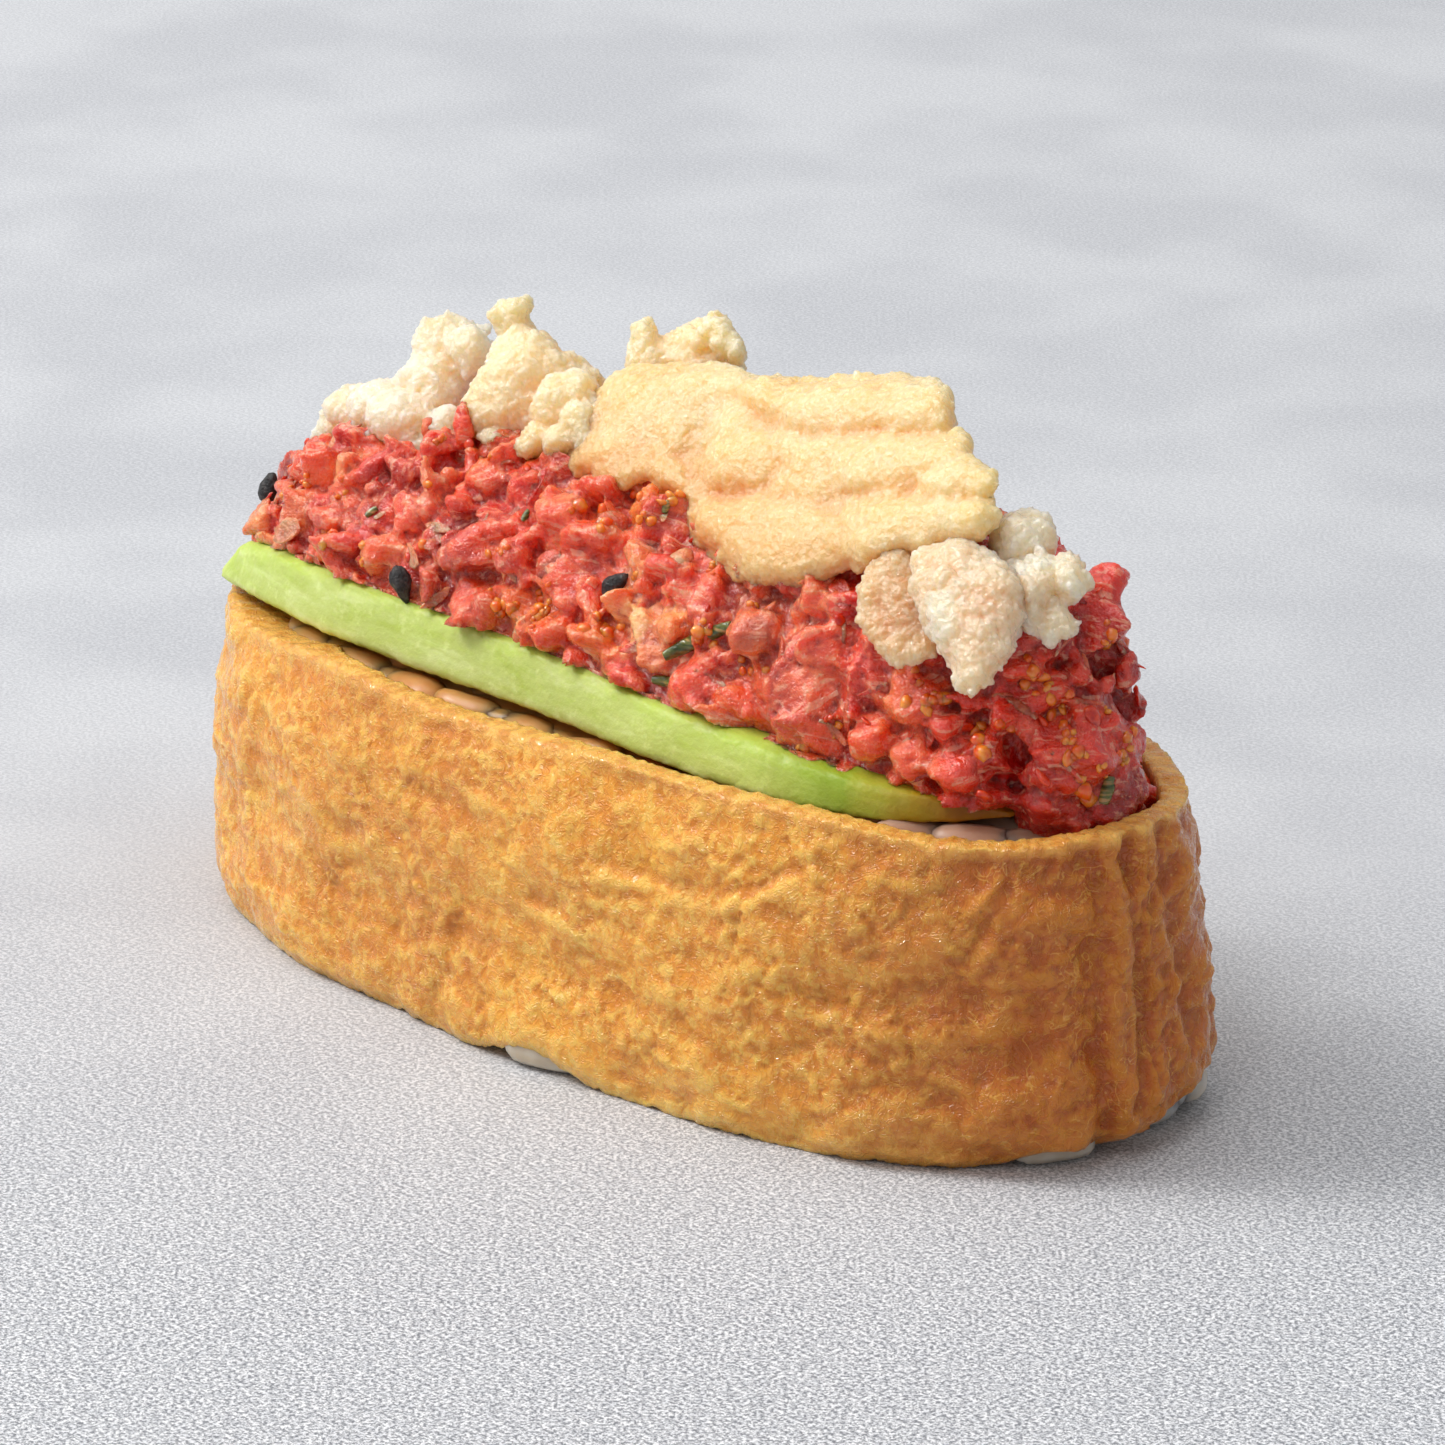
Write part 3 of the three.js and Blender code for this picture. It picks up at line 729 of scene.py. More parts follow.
def tofu_material():
    m = Mat("tofu_skin")
    hollow = m.attr("hollow", "Fac")
    base = m.ramp(m.noise(7.5, 3, 0.55),
                  (0.30, rgb(230, 148, 44)), (0.48, rgb(238, 160, 52)), (0.66, rgb(246, 174, 64)))
    # painted light and shade: where the skin is raised it is painted paler, where it sinks it is painted a deeper amber
    # as shade
    pale = m.ramp(m.noise(0.85, 3, 0.6, 0.5), (0.50, 0.0), (0.60, 1.0))
    col = m.mix(m.math("MULTIPLY", pale, 0.60), base, rgb(255, 214, 128))
    amber = m.ramp(m.noise(3.2, 3, 0.6, 0.3), (0.34, 1.0), (0.52, 0.0))
    col = m.mix(m.math("MULTIPLY", amber, 0.50), col, rgb(220, 128, 18))
    deep = m.ramp(hollow, (0.50, 0.0), (0.78, 1.0))
    col = m.mix(m.math("MULTIPLY", deep, 0.36), col, rgb(206, 124, 20))
    crown = m.ramp(hollow, (0.20, 1.0), (0.46, 0.0))
    col = m.mix(m.math("MULTIPLY", crown, 0.42), col, rgb(255, 216, 136))
    # broader dips are painted darker as shade, mixed with random patches of broth, more so towards the +X end
    dip = m.attr("dip", "Fac")
    sep = m.node("ShaderNodeSeparateXYZ")
    m.put(sep.inputs[0], m.co)
    end_share = m.remap(sep.outputs["X"], 0.008, 0.034, 0.50, 1.0)
    broth = m.math("ADD", m.ramp(dip, (0.44, 0.0), (0.74, 1.0)), m.math("MULTIPLY", m.ramp(m.noise(1.9, 3, 0.6, 0.4), (0.50, 0.0), (0.70, 1.0)), 0.55))
    col = m.mix(m.math("MULTIPLY", m.math("MINIMUM", broth, 1.0), m.math("MULTIPLY", end_share, 0.34)), col, rgb(206, 128, 24))
    # painted light: the broad rises paler
    painted_rise_light = m.ramp(dip, (0.26, 1.0), (0.50, 0.0))
    col = m.mix(m.math("MULTIPLY", painted_rise_light, m.math("MULTIPLY", end_share, 0.26)), col, rgb(255, 210, 120))
    # small round blisters, each with a painted highlight along its outline
    warped = m.node("ShaderNodeVectorMath", operation="ADD")
    m.put(warped.inputs[0], m.scaled(1.0))
    wob = m.node("ShaderNodeTexNoise")
    wob.inputs["Scale"].default_value = 1.0
    m.put(wob.inputs["Vector"], m.scaled(1.4))
    m.put(warped.inputs[1], wob.outputs["Color"])
    blister = m.cells(1.0, vector=warped.outputs[0])
    outline = m.ramp(blister, (0.26, 0.0), (0.36, 1.0), (0.46, 0.0))
    some = m.ramp(m.noise(4.5, 1), (0.46, 0.0), (0.58, 1.0))
    glint_ring = m.math("MULTIPLY", outline, some)
    froth = m.cells(0.62, vector=warped.outputs[0])
    outline2 = m.ramp(froth, (0.24, 0.0), (0.36, 1.0), (0.50, 0.0))
    some2 = m.ramp(m.noise(3.3, 1), (0.46, 0.0), (0.56, 1.0))
    glint_ring = m.math("MAXIMUM", glint_ring, m.math("MULTIPLY", outline2, some2))
    col = m.mix(m.math("MULTIPLY", glint_ring, 0.30), col, rgb(254, 222, 142))
    # painted highlights: fine bright threads along the crinkled skin
    glint_thread = m.noise(1.15, 2, 0.5, 1.6)
    glint_thread = m.ramp(glint_thread, (0.485, 0.0), (0.50, 1.0), (0.515, 0.0), interpolation="LINEAR")
    few = m.ramp(m.noise(2.6, 1), (0.50, 0.0), (0.62, 1.0))
    glint_line = m.math("MULTIPLY", glint_thread, few)
    col = m.mix(m.math("MULTIPLY", glint_line, 0.45), col, rgb(255, 226, 140))
    speck = m.ramp(m.cells(3.4, "F1"), (0.015, 1.0), (0.05, 0.0))
    col = m.mix(m.math("MULTIPLY", speck, 0.45), col, rgb(128, 66, 26))
    # the +X end is painted darker: partly a deeper soak of broth, partly painted shade of the end turned from the light
    soaked = m.remap(sep.outputs["X"], 0.022, 0.036)
    col = m.mix(soaked, col, m.mix(1.0, col, rgb(212, 168, 52), "MULTIPLY"))
    # painted shade: a broad band across the skin, between about x -20 and 1 mm, a little darker
    painted_shade_band = m.math("MULTIPLY", m.remap(sep.outputs["X"], -0.020, -0.015), m.remap(sep.outputs["X"], 0.001, -0.004))
    col = m.mix(m.math("MULTIPLY", painted_shade_band, 0.8), col, m.mix(1.0, col, rgb(242, 234, 214), "MULTIPLY"))
    # fine glints of the crinkled, translucent film
    hair = m.ramp(m.noise(2.0, 2, 0.5, 1.5), (0.480, 0.0), (0.499, 1.0), (0.518, 0.0), interpolation="LINEAR")
    many = m.ramp(m.noise(2.1, 1), (0.44, 0.0), (0.54, 1.0))
    hair = m.math("MULTIPLY", hair, many)
    col = m.mix(m.math("MULTIPLY", hair, 0.40), col, rgb(255, 214, 132))
    pin = m.math("MULTIPLY", m.ramp(m.cells(0.55, "F1"), (0.10, 1.0), (0.20, 0.0)), m.ramp(m.noise(1.7, 2), (0.48, 0.0), (0.60, 1.0)))
    col = m.mix(m.math("MULTIPLY", pin, 0.26), col, rgb(255, 222, 150))
    cut = m.attr("cut", "Fac")
    spongy = m.ramp(m.noise(0.9, 3, 0.6), (0.35, rgb(218, 150, 68)), (0.62, rgb(244, 192, 116)))
    col = m.mix(cut, col, spongy)
    col = m.mix(1.0, col, rgb(253, 243, 190), "MULTIPLY")
    m.set(Base_Color=col, Subsurface_Weight=0.35, Subsurface_Radius=(1.0, 0.45, 0.16), Subsurface_Scale=0.0016,
          Specular_IOR_Level=0.35, Coat_Weight=1.0, Coat_Roughness=0.05, Coat_IOR=1.42)
    wet = m.ramp(m.noise(1.7, 3, 0.6, 0.5), (0.40, 0.62), (0.62, 0.46))
    m.set(Roughness=m.math("MAXIMUM", wet, m.math("MULTIPLY", cut, 0.5)))
    # the film over the skin is crinkled finely
    film = m.math("ABSOLUTE", m.math("SUBTRACT", m.noise(0.62, 2, 0.5, 1.2), 0.5))
    film = m.ramp(film, (0.0, 1.0), (0.10, 0.0), interpolation="LINEAR")
    height = m.math("ADD", m.math("MULTIPLY", glint_ring, 0.5), m.math("MULTIPLY", m.math("MAXIMUM", glint_line, hair), 0.7))
    n = m.bump(
        (m.noise(1.0, 3, 0.6, 0.4), 0.65, 0.17),
        (blister, 0.30, -0.08),
        (film, 0.7, 0.06),
        (m.noise(0.30, 2, 0.6, 0.5), 0.6, 0.05),
        (m.noise(1, 3, 0.6, 0.8, vector=m.scaled(0.8, 0.8, 0.34)), 0.6, 0.09),
    )
    over = m.node("ShaderNodeBump")
    over.inputs["Strength"].default_value = 0.9
    over.inputs["Distance"].default_value = 0.20 * MM
    m.put(over.inputs["Height"], m.noise(1.3, 2, 0.5, 0.6))
    over2 = m.node("ShaderNodeBump")
    over2.inputs["Strength"].default_value = 0.9
    over2.inputs["Distance"].default_value = 0.09 * MM
    m.put(over2.inputs["Height"], m.math("ADD", film, m.math("MULTIPLY", height, 1.2)))
    m.put(over2.inputs["Normal"], over.outputs["Normal"])
    m.put(m.b.inputs["Coat Normal"], over2.outputs["Normal"])
    return m.m


tofu = make_tofu()
tofu.data.materials.append(tofu_material())
placed(tofu, "tofu", "tofu_band")


# ---- rice -----------------------------------------------------------------------------------------------------------
def rice_core():
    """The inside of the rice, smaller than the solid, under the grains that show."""
    n = 160
    S = np.arange(n) / n
    rings = []
    for z, inset in ((0.9, 3.2), (1.6, 2.6), (4.0, 2.45), (9.0, 2.4), (14.0, 2.4), (17.2, 2.6), (18.0, 3.2)):
        P, N = band_point(S, np.full(n, z), inset)
        P += N * (0.25 * fbm(P * 0.5, 2, 51))[:, None]
        rings.append(P)
    for k, z in ((0.9, 18.5), (0.78, 18.95), (0.5, 19.0), (0.25, 19.0)):
        P = rings[6].copy()
        P[:, :2] *= k
        P[:, 2] = z + 0.25 * fbm(P * 0.6, 2, 52)
        rings.append(P)
    ob = stack("rice_core", np.stack(rings))
    return ob


def grain(rng, segs=12, rows=9):
    """One cooked grain: a plump blunt-ended spindle, slightly bent, with a faint groove."""
    length, width, depth = rng.uniform(5.0, 6.2), rng.uniform(2.5, 2.95), rng.uniform(2.1, 2.5)
    bend = rng.uniform(-0.25, 0.35)
    rings = []
    for i in range(rows + 1):
        u = -1 + 2 * (i + 0.0) / rows
        u = math.sin(u * math.pi / 2) * 0.985
        r = (1 - abs(u) ** 2.5) ** 0.5 * (1 + 0.06 * math.sin(3 * u + length))
        a = np.arange(segs) / segs * 2 * np.pi
        y = np.cos(a) * width / 2 * r
        z = np.sin(a) * depth / 2 * r
        y *= 1 - 0.06 * np.exp(-((np.sin(a) - 1) ** 2) * 6)
        rings.append(np.stack([np.full(segs, u * length / 2), y + bend * (u * u - 0.4), z], 1))
    R = np.stack(rings)
    verts = R.reshape(-1, 3)
    tri = []
    n = segs
    for i in range(rows):
        j = np.arange(n)
        a, b, c, d = i * n + j, i * n + (j + 1) % n, (i + 1) * n + (j + 1) % n, (i + 1) * n + j
        tri += [np.stack([a, b, c], 1), np.stack([a, c, d], 1)]
    verts = np.concatenate([verts, R[0].mean(0)[None], R[-1].mean(0)[None]])
    j = np.arange(n)
    tri += [np.stack([np.full(n, len(verts) - 2), (j + 1) % n, j], 1), np.stack([np.full(n, len(verts) - 1), rows * n + j, rows * n + (j + 1) % n], 1)]
    return verts, np.concatenate(tri)


def turned(yaw, pitch, roll):
    cy, sy, cp, sp, cr, sr = math.cos(yaw), math.sin(yaw), math.cos(pitch), math.sin(pitch), math.cos(roll), math.sin(roll)
    Rz = np.array([[cy, -sy, 0], [sy, cy, 0], [0, 0, 1]])
    Ry = np.array([[cp, 0, sp], [0, 1, 0], [-sp, 0, cp]])
    Rx = np.array([[1, 0, 0], [0, cr, -sr], [0, sr, cr]])
    return Rz @ Ry @ Rx


# grains that show, one by one: x, y, z of the middle, yaw, pitch
SHOWN_GRAINS = (
    # in the slot between the avocado and the rim
    (-19.0, -10.2, 18.0, 6, 4), (-13.4, -10.6, 18.1, -8, -3), (-8.3, -10.7, 18.0, 10, 5), (-3.0, -10.6, 17.9, -4, 2),
    (-16.1, -9.9, 17.6, 4, 3), (-10.8, -10.1, 17.7, -6, 3), (-5.6, -10.1, 17.6, 6, -2), (-0.2, -10.0, 17.7, -5, 3), (5.4, -10.1, 17.6, 4, 3),
    (10.9, -10.2, 17.7, -4, 3), (16.2, -9.6, 17.7, 12, -3), (21.3, -8.6, 17.9, 20, 3), (-22.0, -9.2, 17.7, -8, 3), (-24.6, -9.4, 17.9, -12, -3),
    (2.6, -10.7, 18.0, 8, -5), (8.2, -10.9, 18.0, -6, 3), (13.6, -10.8, 18.1, 5, -4), (18.8, -10.0, 18.2, 18, 3),
    (23.6, -8.8, 18.4, 24, -6), (27.3, -7.4, 18.7, 60, 14), (30.4, -5.9, 18.7, 38, 6), (32.6, -3.2, 18.4, 70, 8), (25.4, -5.9, 18.6, 20, 8),
    (28.8, -3.2, 18.4, 10, -5), (33.2, 0.6, 18.2, 85, 4),
    # at the foot
    (5.0, -16.6, 1.1, 20, 0), (8.4, -16.0, 1.0, -14, 3), (36.0, -4.9, 0.95, 66, 0),
    (36.3, 4.9, 1.9, 100, -14), (35.5, 7.0, 1.6, 132, 6), (36.3, 2.2, 1.2, 84, 0), (33.0, 9.8, 1.2, 140, 0), (35.5, 6.2, 3.7, 96, 18),
)


def make_grains():
    rng = np.random.default_rng(7)
    parts, tone = [], []
    def add(x, y, z, yaw, pitch, roll, floor=None, wall=None):
        v, f = grain(rng)
        v = v @ turned(yaw, pitch, roll).T + [x, y, z]
        if floor is not None:
            v[:, 2] = np.where(v[:, 2] < floor + 0.25, floor + 0.25 - (floor + 0.25 - v[:, 2]).clip(0, 1) * 0.25, v[:, 2])
            v[:, 2] = np.maximum(v[:, 2], floor)
        parts.append((v, f))
        tone.append(np.full(len(v), rng.uniform()))
    for x, y, z, yaw, pitch in SHOWN_GRAINS:
        add(x, y, z, math.radians(yaw), math.radians(pitch), rng.uniform(0, 6), floor=0.02 if z < 5 else None)
    def inside(x, y, z, inset):
        P, N = band_point(OLs, np.full(len(OLs), z), inset)
        k = np.argmin((P[:, 0] - x) ** 2 + (P[:, 1] - y) ** 2)
        return (np.array([x, y]) - P[k, :2]) @ N[k, :2] < 0
    OLs = np.linspace(0, 1, 361)[:-1]
    # the top layer, over the whole of the rice
    placed_at = [np.array([g[0], g[1]]) for g in SHOWN_GRAINS if g[2] > 5]
    tries = 0
    while tries < 5200:
        tries += 1
        x, y = rng.uniform(-35, 35.5), rng.uniform(-14, 14)
        if not inside(x, y, 18.5, 3.5):
            continue
        if min(np.hypot(*(p - [x, y])) for p in placed_at) < 2.75:
            continue
        placed_at.append(np.array([x, y]))
        add(x, y, 17.45 + 0.75 * float(smooth(11.0, 9.0, abs(np.float64(y)))) + rng.uniform(-0.1, 0.3), rng.uniform(0, math.pi), rng.uniform(-0.12, 0.12), rng.uniform(0, 6))
    # the underside
    under = [np.array([g[0], g[1]]) for g in SHOWN_GRAINS if g[2] < 5]
    tries = 0
    while tries < 5200:
        tries += 1
        x, y = rng.uniform(-35.5, 35.5), rng.uniform(-16, 16)
        if not inside(x, y, 1.2, 3.5):
            continue
        if min(np.hypot(*(p - [x, y])) for p in under) < 2.8:
            continue
        under.append(np.array([x, y]))
        add(x, y, 1.2 + rng.uniform(-0.05, 0.15), rng.uniform(0, math.pi), rng.uniform(-0.05, 0.05), rng.uniform(0, 6), floor=0.02)
    v, f = joined(parts)
    ob = mesh_of("rice_grains", v, f)
    turn_out(ob)
    paint(ob, "tone", np.concatenate(tone))
    paint(ob, "high", smooth(6.0, 14.0, v[:, 2]))
    return ob


def rice_material():
    m = Mat("cooked_rice")
    cloudy = m.noise(1.6, 3, 0.5)
    col = m.ramp(cloudy, (0.35, rgb(196, 178, 160)), (0.65, rgb(216, 202, 186)))
    col = m.mix(m.math("MULTIPLY", m.attr("tone", "Fac"), 0.35), col, rgb(220, 196, 164))
    # the top layer is painted a warm, darker tone, as the shade and warm bounce light it gets from the skin; towards
    # the +X end a dimmer pinkish tone, as shade
    shade_tint = m.ramp(m.noise(3.5, 2), (0.3, rgb(202, 128, 54)), (0.7, rgb(216, 148, 76)))
    rsep = m.node("ShaderNodeSeparateXYZ")
    m.put(rsep.inputs[0], m.co)
    shade_share = m.math("SUBTRACT", 0.92, m.math("MULTIPLY", m.remap(rsep.outputs["X"], 0.018, 0.025), 0.10))
    shade_tint = m.mix(m.remap(rsep.outputs["X"], 0.018, 0.025), shade_tint, rgb(186, 132, 104))
    col = m.mix(m.math("MULTIPLY", m.attr("high", "Fac"), shade_share), col, shade_tint)
    m.set(Base_Color=col, Roughness=m.ramp(m.noise(0.8, 2), (0.3, 0.34), (0.7, 0.50)), Subsurface_Weight=0.85,
          Subsurface_Radius=(1.0, 0.80, 0.56), Subsurface_Scale=0.0030, Specular_IOR_Level=0.3, Coat_Weight=0.12, Coat_Roughness=0.16)
    m.bump((m.noise(0.7, 2, 0.5), 0.35, 0.05))
    return m.m


rice_look = rice_material()
grains = make_grains()
grains.data.materials.append(rice_look)
placed(grains, "rice", "rice")
core = rice_core()
paint(core, "tone", np.full(len(core.data.vertices), 0.5))
paint(core, "high", smooth(6.0, 14.0, coords(core)[:, 2]))
core.data.materials.append(rice_look)
placed(core, "rice")


# ---- avocado --------------------------------------------------------------------------------------------------------
def make_avocado():
    steps, around = 300, 72
    x0, x1 = AVO_EDGE[0, 0], AVO_EDGE[-1, 0]
    # a rounded box section, walked round from the face's foot
    a = (np.arange(around) + 0.5) / around * 2 * np.pi
    cy, cz = -np.cos(a), -np.sin(a)
    sy, sz = sgnpow(cy, 0.30), sgnpow(cz, 0.24)
    rings = []
    for i in range(steps + 1):
        t = i / steps
        x = x0 + (x1 - x0) * t
        y = along(AVO_EDGE, x, 1)
        h = along(AVO_EDGE, x, 2)
        depth = along(AVO_EDGE, x, 3)
        end = (0.93, 0.98)[i] if i < 2 else 1.0
        tip = min(1.0, ((steps - i) / 10.0) ** 0.5) if i > steps - 10 else 1.0
        end = end * max(0.25, tip)
        z0 = AVO_BOTTOM + 0.25 * smooth(20, 31, x)
        py = 0.5 + 0.5 * sy * (0.94 if end < 1 else 1)
        pz = 0.5 + 0.5 * sz * end
        # the peeled face bows out a little between its edges
        face = smooth(0.25, 0.0, py)
        Y = y + depth * py - 0.16 * face * (1 - (2 * pz - 1) ** 2) + 0.9 * (pz - 0.45) * smooth(0.6, 0.0, py) * min(1.0, h / 3.0)
        Z = z0 + h * pz
        X = x + 1.6 * pz * smooth(14, 0, i) * 1.0
        P = np.stack([X + 0 * py, Y, Z], 1)
        rings.append(P)
    R = np.stack(rings)
    ob = stack("avocado_slice_soft", R)
    co, n = coords(ob), normals(ob)
    d = 0.14 * fbm(co * np.array([0.12, 0.3, 0.35]), 2, 61) + 0.06 * fbm(co * np.array([0.5, 0.8, 0.9]), 3, 62)
    # knife marks along the slice, and a ragged upper and lower edge
    d += 0.045 * fbm(co * np.array([0.35, 1.6, 2.2]), 2, 63) + 0.04 * fbm(co * np.array([1.2, 1.4, 1.4]), 2, 65)
    edge = np.abs(n[:, 2]) * smooth(-0.2, -0.7, n[:, 1]) + 0
    d += 0.16 * edge * fbm(co * 1.6, 2, 64)
    set_coords(ob, co + n * d[:, None])
    return ob


def avocado_material():
    m = Mat("avocado_flesh")
    sep = m.node("ShaderNodeSeparateXYZ")
    m.put(sep.inputs[0], m.co)
    x, y, z = (sep.outputs[k] for k in "XYZ")
    streak = m.noise(1, 4, 0.55, 0.5, vector=m.scaled(5.5, 2.2, 1.5))
    col = m.ramp(streak, (0.34, rgb(184, 202, 96)), (0.5, rgb(196, 212, 118)), (0.68, rgb(212, 226, 146)))
    blot = m.ramp(m.noise(1.1, 4, 0.65), (0.50, 0.0), (0.70, 1.0))
    col = m.mix(m.math("MULTIPLY", blot, 0.40), col, rgb(232, 244, 168))
    # fine knife lines that lean with the slice
    lines = m.noise(1, 2, 0.5, vector=m.scaled(1.6, 1.2, 0.34, turn=(0, 0.5, 0)))
    col = m.mix(m.math("MULTIPLY", m.ramp(lines, (0.5, 0.0), (0.7, 1.0)), 0.22), col, rgb(188, 216, 72))
    # the edges next to the peel are a deeper green, laid on the top and bottom faces, and on the underside this is also
    # painted shade; the heart of the fruit is yellower
    geo = m.node("ShaderNodeNewGeometry")
    nsep = m.node("ShaderNodeSeparateXYZ")
    m.put(nsep.inputs[0], geo.outputs["Normal"])
    peel_green_and_shade = m.remap(m.math("ABSOLUTE", nsep.outputs["Z"]), 0.25, 0.85)
    col = m.mix(m.math("MULTIPLY", peel_green_and_shade, 0.55), col, rgb(166, 194, 44))
    inner = m.remap(y, 0.001 * (-7.5), 0.001 * (-3.0))
    col = m.mix(m.math("MULTIPLY", inner, 0.7), col, rgb(228, 226, 140))
    # darker and greener towards the tip
    col = m.mix(m.remap(x, 0.002, 0.024), col, m.mix(1.0, col, rgb(247, 248, 212), "MULTIPLY"))
    # deep green patch, then yellow, then tan at the thin tip
    wob = m.math("MULTIPLY_ADD", m.noise(2.5, 2), 0.004, -0.002)
    xx = m.math("ADD", x, wob)
    green = m.math("MULTIPLY", m.remap(xx, 0.0175, 0.0215), m.remap(xx, 0.0265, 0.0235))
    col = m.mix(m.math("MULTIPLY", green, 0.75), col, rgb(130, 156, 4))
    col = m.mix(m.math("MULTIPLY", m.remap(xx, 0.0235, 0.0272), 0.9), col, rgb(176, 142, 4))
    col = m.mix(m.math("MULTIPLY", m.remap(xx, 0.0275, 0.0300), 0.9), col, rgb(170, 108, 10))
    m.set(Base_Color=col, Roughness=m.ramp(m.noise(1.4, 3), (0.35, 0.46), (0.65, 0.60)), Subsurface_Weight=0.45,
          Subsurface_Radius=(0.7, 1.0, 0.25), Subsurface_Scale=0.0020, Specular_IOR_Level=0.35, Coat_Weight=0.08, Coat_Roughness=0.25)
    m.bump((m.noise(1, 3, 0.55, vector=m.scaled(2.4, 1.4, 0.9)), 0.35, 0.08), (m.noise(0.50, 3, 0.65), 0.75, 0.10), (m.cells(0.34, "SMOOTH_F1", smoothness=0.4), 0.4, -0.04))
    return m.m


avocado = make_avocado()
avocado.data.materials.append(avocado_material())
placed(avocado, "avocado", "avocado_slice")


